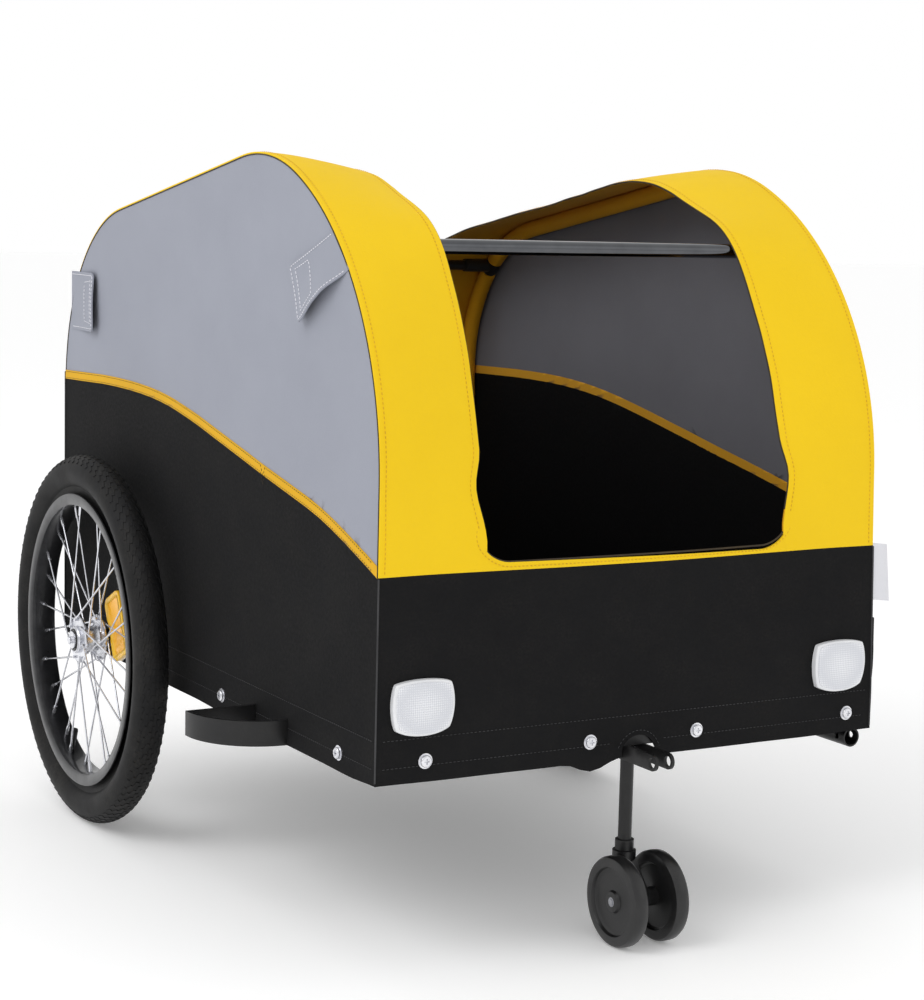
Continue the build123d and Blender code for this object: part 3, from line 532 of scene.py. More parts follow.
# how the sewn cloth hangs: the same shift moves panels, bands, seams and stitches
# a hold is how far cloth lies flat beside a seam or rail, and how much farther it takes to hang free
# a dip or wander is where it is, how wide and how deep
hang = {
    "sideHold": (0.024, 0.13), "sideRailHold": (0.004, 0.09), "endHold": (0.002, 0.07),
    "endRailHold": (0.004, 0.07), "lensHold": (0.004, 0.035), "cornerHold": 0.05, "webFade": 0.10,
    "barHold": 0.045,
    "sideHollow": 0.0035, "panelRipple": 0.0012, "endBow": 0.0022, "endDrop": 0.0018,
    "skirtBend": 0.189, "skirtFade": 0.012, "skirtFlare": 0.003, "skirtCuts": (0.1875, 0.183),
    "dips": {-1: ((-0.054, 0.031, 0.009), (-0.014, 0.02, -0.002)), 1: ((0.09, 0.08, 0.003),)},
    "droop": 0.015, "droopEnds": 0.16, "wander": ((0.437, 0.035, 0.006), (0.385, 0.03, -0.004)),
    "rearWander": 0.6,
}


def freed(distance, hold):
    return ease((distance - hold[0]) / hold[1])


def sideShift(point, sign):
    y, z = point.y, point.z
    free = freed(fromEdge(y, z), hang["sideHold"]) * freed(z - railTop, hang["sideRailHold"])
    hollow = hang["sideHollow"] * free
    waves = (ripple(y, z, 0.16, 3.0 * sign) + 0.45 * ripple(y, z * 0.6, 0.055, 7.0 * sign)) * free
    skirt = ease((hang["skirtBend"] - z) / hang["skirtFade"])
    flare = skirt * (0.7 * hang["skirtFlare"] + 0.0015 * ripple(y, 0.0, 0.09, 5.0 * sign))
    corner = ease(min(y - frontY, rearY - y) / hang["cornerHold"])
    across = sign * (flare * corner - hollow + hang["panelRipple"] * waves)
    sag = -0.002 * skirt * corner * (0.5 + ripple(y, 0.3, 0.12, 2.0 * sign))
    return Vector((across, 0.0, sag))


def endShift(point, end):
    x, z = point.x, point.z
    edge = freed(min(x + sideX, seamX(z, 1) - x), hang["endHold"])
    free = freed(z - railTop, hang["endRailHold"]) * edge
    for centre in (-reflectors["x"], reflectors["x"]):
        away = max(abs(x - centre) - reflectors["width"] / 2,
                   abs(z - reflectors["z"]) - reflectors["height"] / 2)
        free *= freed(away, hang["lensHold"])
    waves = ripple(x, z, 0.17, 11.0 * end) + 0.4 * ripple(x * 0.7, z, 0.06, 13.0 * end)
    rise = ease((z - railTop) / (sills[end] - railTop))
    bow = hang["endBow"] * edge * rise
    skirt = ease((hang["skirtBend"] - z) / hang["skirtFade"])
    flare = skirt * edge * (hang["skirtFlare"] + 0.0012 * ripple(x, 0.5, 0.07, 4.0))
    away = end * (flare + 1.3 * hang["panelRipple"] * waves * free) - end * bow
    drop = -hang["endDrop"] * edge * bump(x / sideX) * rise
    for centre, width, depth in hang["dips"][end]:
        drop -= skirt * depth * bump((x - centre) / width)
    return Vector((0.0, away, drop))


barRooms = []
for bar in (barFront, barRear):
    barMiddle = Vector((bar[0].y + bar[1].y, bar[0].z + bar[1].z)) / 2
    barReach = (bar[1].y - bar[0].y) / 2 + cover["cloth"] + 0.001
    nearest = min((point - barMiddle).length for point in outline)
    barRooms.append((barMiddle.x, max(0.0, nearest - barReach)))


def nearBar(y, centre):
    return math.exp(-((y - centre) / hang["barHold"]) ** 2)


def heldAt(y):
    return max(nearBar(y, centre) for centre, room in barRooms)


def droopAt(distance, y):
    ends = ease(distance / hang["droopEnds"]) * ease((arcLength - distance) / hang["droopEnds"])
    amount = hang["droop"] * ends * (1 + 0.25 * noise.noise(Vector((distance / 0.22, 5.0, 0.0))))
    for centre, room in barRooms:
        held = nearBar(y, centre)
        amount = amount * (1 - held) + min(amount, room) * held
    return amount


def edgeWander(z):
    # the opening's edge stands out a little above the corner and pulls in at it
    return sum(depth * bump((z - centre) / width) for centre, width, depth in hang["wander"])


# sewing: rows of thread laid on the hung cloth
def addStitches(bm, points, outward, pitch=0.0042, length=0.0031, radius=0.00038):
    reach, index = 0.0, 1
    total = sum((b - a).length for a, b in zip(points, points[1:]))
    part = bmesh.new()
    for number in range(int(total / pitch)):
        target = (number + 0.5) * pitch
        while index < len(points) - 1 and reach + (points[index] - points[index - 1]).length < target:
            reach += (points[index] - points[index - 1]).length
            index += 1
        start, end = points[index - 1], points[index]
        along = (end - start).normalized()
        centre = start + along * (target - reach)
        side = along.cross(outward).normalized()
        turn = Matrix((along, side, along.cross(side))).transposed().to_4x4()
        size = Matrix.Diagonal((length / 2, radius, radius, 1.0))
        place = Matrix.Translation(centre) @ turn @ size
        bmesh.ops.create_icosphere(part, subdivisions=1, radius=1.0, matrix=place)
        if number % 40 == 39:
            joinInto(bm, part)
            part = bmesh.new()
    joinInto(bm, part)


def dense(points, step=0.004):
    filled = [points[0]]
    for point in points[1:]:
        start = filled[-1]
        pieces = max(1, round((point - start).length / step))
        filled += [start.lerp(point, k / pieces) for k in range(1, pieces + 1)]
    return filled


def tubeAlong(name, points, radius, material, closed=False):
    curve = bpy.data.curves.new(name, "CURVE")
    curve.dimensions = "3D"
    curve.bevel_depth, curve.bevel_resolution, curve.use_fill_caps = radius, 1, not closed
    line = curve.splines.new("POLY")
    line.points.add(len(points) - 1)
    for spot, point in zip(line.points, points):
        spot.co = (*point, 1.0)
    line.use_cyclic_u = closed
    guide = bpy.data.objects.new(name, curve)
    mesh = bpy.data.meshes.new_from_object(guide)
    bpy.data.objects.remove(guide)
    bm = bmesh.new()
    bm.from_mesh(mesh)
    bmesh.ops.remove_doubles(bm, verts=bm.verts, dist=1e-6)
    bmesh.ops.recalc_face_normals(bm, faces=bm.faces)
    bpy.data.meshes.remove(mesh)
    bpy.data.curves.remove(curve)
    return finishPiece(bm, name, [material], "trailer")


# side panels, black below and grey above
reflectors = {"x": 0.2325, "z": 0.247, "width": 0.062, "height": 0.046, "depth": 0.0085, "crown": 0.0022,
              "bow": 0.0035, "corner": 0.2, "taper": 0.035, "grid": (20, 16)}
sidePanels = {"step": 0.012}


def shapeSidePanel(part, side, sign, kind):
    node = f"side_{part.lower()}_{side}"
    bm = mergedCopy(node, triangles=True)
    low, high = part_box(node)
    cutAcross(bm, 1, low.y, high.y, sidePanels["step"])
    cutAcross(bm, 2, low.z, high.z, sidePanels["step"])
    area = clothArea(bm)
    # inner faces take the darker copy of the cloth: painted shade
    for face in bm.faces:
        face.material_index = 1 if face.normal.x * sign < -0.5 else 0
    mapFlat(bm, 1, 2)
    for vert in bm.verts:
        vert.co += sideShift(vert.co, sign)
    piece = finishPiece(bm, f"side{part}_{side}", clothPair(kind), "trailer", [node])


for side, sign in sides:
    shapeSidePanel("Lower", side, sign, "Black")
    shapeSidePanel("Upper", side, sign, "Grey")
print("side panels hung")

# piping between black and grey, one strip each side
piping = {"step": 0.01, "width": 0.012}
bm = mergedCopy("side_piping", triangles=True)
low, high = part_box("side_piping")
cutAcross(bm, 1, low.y, high.y, piping["step"])
area = clothArea(bm)
mapFlat(bm, 1, 2)
pipingTops = {}
for vert in bm.verts:
    if vert.co.x < 0:
        key = round(vert.co.y, 4)
        pipingTops[key] = max(pipingTops.get(key, 0.0), vert.co.z)
# inner faces take the darker copy of the piping: painted shade
for face in bm.faces:
    face.material_index = 1 if face.normal.x * face.calc_center_median().x < -0.1 else 0
for vert in bm.verts:
    sign = 1 if vert.co.x > 0 else -1
    vert.co += sideShift(vert.co, sign)
sidePiping = finishPiece(bm, "sidePiping", [looks["pipingYellow"], looks["shadedLiningPiping"]], "trailer",
                         ["side_piping"])
print("piping sewn")


# yellow bands: one curved sheet each side, hung from the seam
bands = {"across": 14, "alongStep": 0.009, "ripple": 0.0011, "hubHeight": 0.42}


def bandPoint(distance, share, sign, depth=0.0):
    point, inward = outlineAt(distance)
    seam = seamX(point.y, sign)
    edge = seam - sign * cover["bandWidth"]
    wander = sign * edgeWander(point.y) * (1 - share) * (1.0 if point.x < midY else hang["rearWander"])
    x = edge + (seam - edge) * share + wander
    droop = droopAt(distance, point.x) * (1 - share) ** 1.5
    free = ease((1 - share) / 0.35) * ease(distance / 0.05) * ease((arcLength - distance) / 0.05)
    free *= 1 - heldAt(point.x)
    waves = bands["ripple"] * free * (noise.noise(Vector((distance / 0.07, x / 0.2, 9.0 * sign)))
                                      + 0.5 * noise.noise(Vector((distance / 0.03, x / 0.12, 2.0 * sign))))
    drop = inward * (droop + waves + depth)
    place = Vector((x, point.x + drop.x, point.y + drop.y))
    for end, reach in ((-1, distance), (1, arcLength - distance)):
        near = ease(1 - reach / hang["webFade"])
        if near > 0:
            place += endShift(Vector((x, walls[end], point.y)), end) * near
    return place


def shapeBand(side, sign):
    bm = bmesh.new()
    alongCount = round(arcLength / bands["alongStep"])
    bmesh.ops.create_grid(bm, x_segments=bands["across"], y_segments=alongCount, size=0.5)
    mapCloth(bm, lambda spot: (spot.x * cover["bandWidth"], (spot.y + 0.5) * arcLength))
    for vert in bm.verts:
        vert.co = bandPoint((vert.co.y + 0.5) * arcLength, vert.co.x + 0.5, sign)
    bmesh.ops.recalc_face_normals(bm, faces=bm.faces)
    top = max(bm.faces, key=lambda face: face.calc_center_median().z)
    if top.normal.z < 0:
        bmesh.ops.reverse_faces(bm, faces=bm.faces)
    bmesh.ops.solidify(bm, geom=bm.faces[:], thickness=cover["cloth"])
    # faces turned towards the middle of the trailer take the darker yellow copy: painted shade
    for face in bm.faces:
        point = face.calc_center_median()
        hub = Vector((point.x, midY, bands["hubHeight"]))
        face.material_index = 0 if face.normal.dot(point - hub) > 0 else 1
    bmesh.ops.remove_doubles(bm, verts=bm.verts, dist=1e-7)
    piece = finishPiece(bm, f"band_{side}", clothPair("Yellow"), "trailer",
                        [f"cover_band_{side}"], sharpAngle=50)


for side, sign in sides:
    shapeBand(side, sign)
print("bands hung")


# front and rear panels with the hems of the two openings
def webShift(point, end):
    # hem and corner webs: pulled in with the band's edge beside them
    shift = endShift(point, end)
    distance = point.z - sills[end]
    if distance > 0:
        shift *= ease(1 - distance / hang["webFade"])
        pull = droopAt(distance if end < 0 else arcLength - distance, point.y)
        shift += Vector((0.0, -end * pull, 0.0))
        near = ease((abs(point.x) - 0.10) / 0.06)
        near *= 1.0 if end < 0 else hang["rearWander"]
        shift.x += math.copysign(edgeWander(point.z), point.x) * near
    return shift


# name, end, colour, step across and step up
endCloths = {"front_panel": ("frontPanel", -1, "Black", 0.011, 0.011),
             "rear_panel": ("rearPanel", 1, "Black", 0.013, 0.013),
             "front_hem": ("frontHem", -1, "Yellow", 0.009, 0.006),
             "rear_hem": ("rearHem", 1, "Yellow", 0.009, 0.006)}
hemFill, hemLeast = 0.4, 0.012


def shapeEnd(node, name, end, kind, across, up):
    bm = mergedCopy(node, triangles=True)
    low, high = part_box(node)
    cutAcross(bm, 0, low.x, high.x, across)
    cutAcross(bm, 2, low.z, high.z, up)
    if low.z < railTop:
        for at in hang["skirtCuts"]:
            cutAt(bm, 2, at)
    area = clothArea(bm)
    # inner faces take the darker copy of the cloth: painted shade
    for face in bm.faces:
        face.material_index = 1 if face.normal.y * end < -0.5 else 0
    mapFlat(bm, 0, 2)
    for vert in bm.verts:
        vert.co += webShift(vert.co, end)
    piece = finishPiece(bm, name, clothPair(kind), "trailer", [node])
    width, height = high.x - low.x, high.z - low.z
    if area < hemFill * width * height:
        # a hem fills little of its box, so its flat height comes from its area
        height = max(hemLeast, area / width)


for node, given in endCloths.items():
    shapeEnd(node, *given)
print("end panels and hems hung")

# cloth floor
floorCloth = {"step": 0.02, "dip": 0.0012, "hold": (0.02, 0.03)}
bm = mergedCopy("floor_panel")
low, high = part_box("floor_panel")
cutAcross(bm, 0, low.x, high.x, floorCloth["step"])
cutAcross(bm, 1, low.y, high.y, floorCloth["step"])
area = clothArea(bm)
mapFlat(bm, 0, 1)
for vert in bm.verts:
    rim = min(vert.co.x - low.x, high.x - vert.co.x, vert.co.y - low.y, high.y - vert.co.y)
    wave = 0.5 + 0.5 * ripple(vert.co.x, vert.co.y, 0.09, 1.0)
    vert.co.z -= floorCloth["dip"] * freed(rim, floorCloth["hold"]) * wave
floorPiece = finishPiece(bm, "floorCloth", [looks["clothBlack"]], "trailer", ["floor_panel"])
print("floor laid")

# cloth sleeves round the hoops
for side, sign in sides:
    bm = mergedCopy(f"hoop_sleeve_{side}")
    area = clothArea(bm)
    mapCloth(bm, lambda spot: (spot.x, spot.y + spot.z))
    # the sleeve takes the darker yellow copy of the band cloth: painted shade
    sleeve = finishPiece(bm, f"hoopSleeve_{side}", [looks["liningYellow"]], "trailer",
                         [f"hoop_sleeve_{side}"], 40)
print("sleeves made")

# seams, bindings and rows of thread
sewing = {"seamRadius": 0.0007, "bindRadius": 0.0009, "step": 0.006, "lift": 0.0003, "seamLift": 0.0002,
          "seamTuck": 0.0022, "hemStitch": 0.0065, "seamStitch": 0.0055, "skirtRows": (0.1925, 0.2175),
          "archRow": 0.0245, "archGap": 0.026, "axleGap": 0.014, "cornerRadius": 0.030, "hemHeight": 0.0075,
          "pipingRows": (0.0016, 0.0086)}

lift = sewing["seamLift"]
for side, sign in sides:
    count = round(arcLength / sewing["step"])
    points = []
    for k in range(count + 1):
        distance = arcLength * k / count
        tuck = outlineAt(distance)[1] * sewing["seamTuck"]
        points.append(bandPoint(distance, 1.0, sign) + Vector((sign * lift, tuck.x, tuck.y)))
    tubeAlong(f"seam_{side}", points, sewing["seamRadius"], looks["edgeBinding"])
    for label, end, count in (("front", -1, 30), ("rear", 1, 40)):
        corner = []
        for k in range(count + 1):
            z = skirtZ + 0.003 + (sills[end] - skirtZ - 0.004) * k / count
            corner.append(Vector((seamX(z, sign) + sign * lift, walls[end] + end * lift, z)))
        tubeAlong(f"{label}CornerSeam_{side}", corner, sewing["bindRadius"], looks["threadBlack"])


def innerEdgeX(z, sign):
    return seamX(z, sign) - sign * cover["bandWidth"]


def openingEdge(end, inset):
    # the sill with its two rounded corners, from left to right, a given distance inside the cloth
    sill = sills[end] + sewing["hemHeight"] - inset
    radius = sewing["cornerRadius"] + inset
    points = []
    for sign in (-1, 1):
        arc = []
        centreX = innerEdgeX(sill + radius, sign) + sign * inset - sign * radius
        for k in range(13):
            angle = math.pi / 2 * k / 12
            arc.append(Vector((centreX + sign * radius * math.cos(angle), walls[end],
                               sill + radius - radius * math.sin(angle))))
        points += arc if sign < 0 else arc[::-1]
    return dense(points, sewing["step"])


def hungEdge(end, inset, lift=0.0):
    out = Vector((0.0, end * lift, 0.0))
    return [point + webShift(point, end) + out for point in openingEdge(end, inset)]


def bandRow(sign, share, lift=0.0, first=0.0, last=0.0):
    count = round(arcLength / sewing["step"])
    row = []
    for k in range(count + 1):
        distance = first + (arcLength - first - last) * k / count
        row.append(bandPoint(distance, share, sign, -lift))
    return row


half = -cover["cloth"] / 2
frontEdge, rearEdge = hungEdge(-1, 0.0, half), hungEdge(1, 0.0, half)
webTop = sewing["cornerRadius"] + sewing["hemHeight"]
leftEdge = bandRow(-1, 0.0, half, webTop + 0.004, webTop + 0.004)
rightEdge = bandRow(1, 0.0, half, webTop + 0.004, webTop + 0.004)
loop = frontEdge + rightEdge + rearEdge[::-1] + leftEdge[::-1]
tubeAlong("openingBinding", loop, sewing["bindRadius"], looks["edgeBinding"], closed=True)

yellowRows = bmesh.new()
inner, outer = sewing["hemStitch"] / cover["bandWidth"], 1 - sewing["seamStitch"] / cover["bandWidth"]
for sign in (-1, 1):
    for share, first in ((inner, webTop), (outer, 0.002)):
        row = bandRow(sign, share, sewing["lift"], first, first)
        addStitches(yellowRows, row, Vector((sign * 0.3, -0.2, 1.0)))
for end in (-1, 1):
    addStitches(yellowRows, hungEdge(end, sewing["hemStitch"] - 0.002, sewing["lift"]), Vector((0, end, 0)))
finishPiece(yellowRows, "yellowStitches", [looks["threadYellow"]], "trailer")

pipingRows = bmesh.new()
for sign in (-1, 1):
    for drop in sewing["pipingRows"]:
        row = []
        for y in sorted(pipingTops)[1:-1]:
            z = pipingTops[y] - drop
            point = Vector((seamX(z, sign) + sign * 0.0010, y, z))
            row.append(point + sideShift(point, sign))
        addStitches(pipingRows, row, Vector((sign, 0, 0)), radius=0.00034)
finishPiece(pipingRows, "pipingStitches", [looks["edgeBinding"]], "trailer")

blackRows = bmesh.new()


def addSplitRow(row, axis, middle, gap, outward):
    # a row of thread that stops short on both sides of a middle
    addStitches(blackRows, [point for point in row if point[axis] < middle - gap], outward)
    addStitches(blackRows, [point for point in row if point[axis] > middle + gap], outward)


for z in sewing["skirtRows"]:
    for end, wall in walls.items():
        row = []
        for k in range(90):
            x = -sideX + 0.006 + (sideX + seamX(z, 1) - 0.012) * k / 89
            point = Vector((x, wall + end * sewing["lift"], z))
            row.append(point + endShift(point, end))
        if end < 0 and z < skirtZ + sewing["archGap"]:
            addSplitRow(row, 0, 0.0, sewing["archGap"], Vector((0, end, 0)))
        else:
            addStitches(blackRows, row, Vector((0, end, 0)))
    for side, sign in sides:
        row = []
        for k in range(120):
            y = frontY + 0.006 + (rearY - frontY - 0.012) * k / 119
            point = Vector((seamX(z, sign) + sign * sewing["lift"], y, z))
            row.append(point + sideShift(point, sign))
        addSplitRow(row, 1, axleY, sewing["axleGap"], Vector((sign, 0, 0)))
arch = []
for k in range(25):
    angle = math.radians(12 + 156 * k / 24)
    arch.append(Vector((sewing["archRow"] * math.cos(angle), frontY - sewing["lift"],
                        skirtZ + sewing["archRow"] * math.sin(angle))))
addStitches(blackRows, arch, Vector((0, -1, 0)))
finishPiece(blackRows, "skirtStitches", [looks["threadBlack"]], "trailer")
print("seams and stitches sewn")

# four sewn tabs with curling free ends
tabs = {
    "front": {"corners": ((0.1000, 0.0331), (0.0665, 0.0003), (0.1579, -0.0535), (0.1895, 0.0001)),
              "lift": 0.0100},
    "rear": {"corners": ((-0.0225, -0.0440), (-0.0225, -0.1100), (-0.1045, -0.1100), (-0.1045, -0.0440)),
             "lift": 0.0085},
    "grid": (18, 14), "size": (0.095, 0.062), "thickness": 0.0014, "flatWidth": 0.09,
    "hookGrid": (10, 10), "hookSize": (0.04, 0.05), "hookThickness": 0.0008, "edge": 0.05, "lift": 0.0003,
}


def tabPoint(kind, sign, along, across, above=0.0):
    # along runs from the seam to the free end, across from the upper edge to the lower one
    shape = tabs[kind]
    origin = Vector((walls[-1] if kind == "front" else walls[1], cover[f"{kind}Corner"]))
    a, b, c, d = [origin + Vector(corner) for corner in shape["corners"]]
    rounding = ease((along - 0.88) / 0.12) * ease((abs(across - 0.5) * 2 - 0.8) / 0.2)
    along, across = along - 0.035 * rounding, across + (0.5 - across) * 0.06 * rounding
    top, foot = a.lerp(d, along), b.lerp(c, along)
    place = top.lerp(foot, across)
    if kind == "front":
        place.x += 0.004 * math.sin(math.pi * along) * (across - 0.5)
        lift = shape["lift"] * across ** 1.7 * ease(along / 0.4) * (1 - 0.4 * ease((along - 0.55) / 0.45))
        lift += (0.0022 if sign < 0 else 0.020) * along * along
    else:
        lift = shape["lift"] * along ** 2.2 * (0.55 + 0.45 * across)
        lift += 0.0012 * math.sin(math.pi * across) * along
    base = Vector((seamX(place.y, sign), place.x, place.y))
    base += sideShift(base, sign)
    base.x += sign * (0.0007 + lift + above)
    return base


def shapeTab(kind, side, sign):
    bm = clothGrid(tabs["grid"], tabs["size"])
    for vert in bm.verts:
        vert.co = tabPoint(kind, sign, vert.co.x + 0.5, vert.co.y + 0.5)
    turnOut(bm, 0, sign)
    area = sum(face.calc_area() for face in bm.faces)
    bmesh.ops.solidify(bm, geom=bm.faces[:], thickness=tabs["thickness"])
    piece = finishPiece(bm, f"tab_{kind}_{side}", [looks["clothGrey"]], "trailer",
                        ["fabric_tabs"], 50)
    bm = clothGrid(tabs["hookGrid"], tabs["hookSize"])
    for vert in bm.verts:
        point = tabPoint(kind, sign, 0.78 + 0.38 * vert.co.x, 0.5 + 0.84 * vert.co.y)
        room = abs(point.x) - abs(seamX(point.z, sign)) - 0.0006
        point.x -= sign * (0.0002 + min(0.0016, max(0.0, room - 0.0015)))
        vert.co = point
    turnOut(bm, 0, sign)
    bmesh.ops.solidify(bm, geom=bm.faces[:], thickness=tabs["hookThickness"])
    backing = finishPiece(bm, f"tabHook_{kind}_{side}", [looks["clothBlack"]], "trailer")
    rows = bmesh.new()
    edge, free, lift = tabs["edge"], 1 - tabs["edge"] * 0.8, tabs["lift"]
    outer = [(0.03, edge), (free, edge), (free, 1 - edge), (0.03, 1 - edge)]
    inner = [(0.58, 0.17), (0.87, 0.14), (0.87, 0.86), (0.58, 0.83), (0.58, 0.17)]
    for corners in (outer, inner):
        path = []
        for first, second in zip(corners, corners[1:]):
            for k in range(24):
                share = k / 24
                path.append(tabPoint(kind, sign, first[0] + (second[0] - first[0]) * share,
                                     first[1] + (second[1] - first[1]) * share, lift))
        path.append(tabPoint(kind, sign, *corners[-1], lift))
        addStitches(rows, path, Vector((sign, 0, 0)), pitch=0.0044, length=0.0036, radius=0.0005)
    finishPiece(rows, f"tabStitches_{kind}_{side}", [looks["threadWhite"]], "trailer")


for side, sign in sides:
    for kind in ("front", "rear"):
        shapeTab(kind, side, sign)
print("tabs sewn")

# blank ribbon and flag pole sleeve on the right
ribbon = {"curl": 0.004, "thickness": 0.0008, "grid": (10, 16)}
low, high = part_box("blank_tag")
bm = clothGrid(ribbon["grid"], (high.x - low.x, high.z - low.z))
for vert in bm.verts:
    out, up = vert.co.x + 0.5, vert.co.y + 0.5
    z = low.z + (high.z - low.z) * up - 0.003 * out
    x = seamX(z, 1) + 0.0004 + (high.x - low.x - 0.003) * out - 0.002 * out * up
    vert.co = Vector((x, low.y + 0.0004 + ribbon["curl"] * out * out * (0.4 + 0.6 * up), z))
turnOut(bm, 1, -1)
bmesh.ops.solidify(bm, geom=bm.faces[:], thickness=ribbon["thickness"])
tag = finishPiece(bm, "blankTag", [looks["tagWhite"]], "trailer", ["blank_tag"], 50)

flagTube = {"step": 0.008, "width": 0.05, "footHeight": 0.07}
bm = mergedCopy("flag_sleeve")
low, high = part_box("flag_sleeve")
cutAcross(bm, 2, low.z, high.z, flagTube["step"])
area = clothArea(bm)
mapFlat(bm, 1, 2)
for vert in bm.verts:
    outward = max(0.0, vert.co.x - low.x - 0.001) / (high.x - low.x)
    foot = ease(1 - (vert.co.z - low.z) / flagTube["footHeight"])
    vert.co.x -= outward * (0.006 * foot + 0.0008 * ripple(vert.co.y, vert.co.z, 0.02, 4.0))
flagSleeve = finishPiece(bm, "flagSleeve", [looks["clothBlack"]], "trailer",
                         ["flag_sleeve"], 45)
print("ribbon and flag sleeve made")


# turned parts
def spunRing(bm, profile, centre, steps, closed=True):
    # profile points are (along x from the centre, radius)
    verts = [bm.verts.new((centre.x + along, centre.y, centre.z + radius)) for along, radius in profile]
    edges = [bm.edges.new(pair) for pair in zip(verts, verts[1:])]
    if closed:
        edges.append(bm.edges.new((verts[-1], verts[0])))
    bmesh.ops.spin(bm, geom=verts + edges, cent=centre, axis=(1, 0, 0), dvec=(0, 0, 0),
                   angle=math.tau, steps=steps, use_merge=True, use_duplicate=False)


def spunPiece(name, profiles, centre, steps, materials, body, replaced=(), sharp=32, flip=1):
    bm = bmesh.new()
    for index, profile in enumerate(profiles):
        before = set(bm.faces)
        spunRing(bm, [(along * flip / 1000, radius / 1000) for along, radius in profile], centre, steps)
        for face in set(bm.faces) - before:
            face.material_index = min(index, len(materials) - 1)
    bmesh.ops.remove_doubles(bm, verts=bm.verts, dist=1e-6)
    bmesh.ops.recalc_face_normals(bm, faces=bm.faces)
    return finishPiece(bm, name, materials, body, replaced, sharp)


wheel = {
    "steps": 112, "section": 18.3, "treadRows": (-46, -30, -15, 0, 15, 30, 46), "blocks": 92,
    "blockSize": (0.0042, 0.0098, 0.0008), "crownRadius": 183.5,
    "tread": 0.35, "treadAngle": 56, "lineAngle": 105, "lineWidth": 6, "blockTurn": 18, "blockTop": 0.84,
    "spokes": 14, "cross": 2, "flange": 11.0, "flangeSide": 3.1, "spokeFoot": 0.022, "spokeTip": 0.1468,
    "nippleRadius": 0.0021, "nippleLength": 0.012, "headRadius": 0.0018, "headLength": 0.0022,
    "valveAngle": -69, "valve": ((0.0031, 0.0029, 0.016, 0.139), (0.0040, 0.0038, 0.011, 0.1265),
                                 (0.0038, 0.0030, 0.002, 0.1205)),
}
hubProfile = [(-16.5, 12.3), (-16.2, 14.2), (-15.0, 15.0), (-12.6, 15.0), (-12.4, 24.6), (-11.6, 26.0),
              (-10.4, 26.0), (-9.6, 24.6), (-9.4, 17.5), (-8.0, 15.0), (-4.0, 13.6), (0.0, 13.2), (4.0, 13.6),
              (8.0, 15.0), (9.4, 17.5), (9.6, 24.6), (10.4, 26.0), (11.6, 26.0), (12.4, 24.6), (12.6, 15.0),
              (15.0, 15.0), (16.2, 14.2), (16.5, 12.3), (10.0, 12.2), (9.5, 7.1), (-9.5, 7.1), (-10.0, 12.2)]
sealProfile = [(16.6, 9.9), (17.3, 10.2), (17.5, 11.2), (17.0, 12.0), (16.4, 12.2), (16.2, 10.2)]
ringProfile = [(16.4, 12.5), (17.0, 12.7), (17.2, 13.4), (16.7, 14.0), (16.2, 13.8), (16.0, 12.8)]
rimProfile = [(-15.0, 158.6), (-14.6, 160.4), (-13.4, 160.8), (-12.4, 160.0), (-12.2, 153.5), (-10.6, 150.4),
              (-7.0, 149.3), (7.0, 149.3), (10.6, 150.4), (12.2, 153.5), (12.4, 160.0), (13.4, 160.8),
              (14.6, 160.4), (15.0, 158.6), (14.7, 151.0), (13.2, 148.2), (9.0, 147.0), (-9.0, 147.0),
              (-13.2, 148.2), (-14.7, 151.0)]


def tyreProfile():
    points = []
    for k in range(37):
        degrees = -146 + 292 * k / 36
        angle, away = math.radians(degrees), abs(degrees)
        raised = (away < wheel["treadAngle"]) + (1 < abs(away - wheel["lineAngle"]) < wheel["lineWidth"])
        radius = wheel["section"] + wheel["tread"] * raised
        points.append((radius * math.sin(angle), wheel["crownRadius"] + radius * math.cos(angle)))
    return points + [(8.0, 161.0), (7.0, 152.0), (-7.0, 152.0), (-8.0, 161.0)]


def wheelPlace(centre, along, radius, angle):
    return centre + Vector((along, radius * math.cos(angle), radius * math.sin(angle)))


def makeTyre(side, centre):
    bm = bmesh.new()
    spunRing(bm, [(a / 1000, r / 1000) for a, r in tyreProfile()], centre, wheel["steps"])
    bmesh.ops.remove_doubles(bm, verts=bm.verts, dist=1e-6)
    bmesh.ops.recalc_face_normals(bm, faces=bm.faces)
    wide, long, tall = wheel["blockSize"]
    reach = (wheel["section"] + wheel["tread"]) / 1000
    crown = Matrix.Translation((0, 0, wheel["crownRadius"] / 1000))
    for rowIndex, lateral in enumerate(wheel["treadRows"]):
        offset = 0.5 * (rowIndex % 2)
        tilt = (lateral > 0) - (lateral < 0)
        lean = Matrix.Rotation(math.radians(lateral), 4, "Y")
        twist = Matrix.Rotation(math.radians(wheel["blockTurn"] * tilt), 4, "Z")
        block = Matrix.Translation((0, 0, reach)) @ twist @ Matrix.Diagonal((wide, long, tall, 1.0))
        row = bmesh.new()
        for number in range(wheel["blocks"]):
            turn = Matrix.Rotation(math.tau * (number + offset) / wheel["blocks"], 4, "X")
            axis = Matrix.Translation(centre) @ turn @ crown @ lean
            made = bmesh.ops.create_cube(row, size=1.0, matrix=axis @ block)["verts"]
            top = axis @ Vector((0, 0, reach + tall / 2))
            for vert in made:
                if (vert.co - top).length < math.hypot(wide, long) / 2 + 1e-4:
                    vert.co = top + (vert.co - top) * wheel["blockTop"]
        joinInto(bm, row)
    finishPiece(bm, f"tyre_tread_{side}", [looks["rubberTyre"]], f"wheel_{side}",
                [f"tyre_{side}"], 30)


def addCone(bm, segments, radius1, radius2, depth, matrix):
    bmesh.ops.create_cone(bm, cap_ends=True, segments=segments, radius1=radius1, radius2=radius2, depth=depth,
                          matrix=matrix)


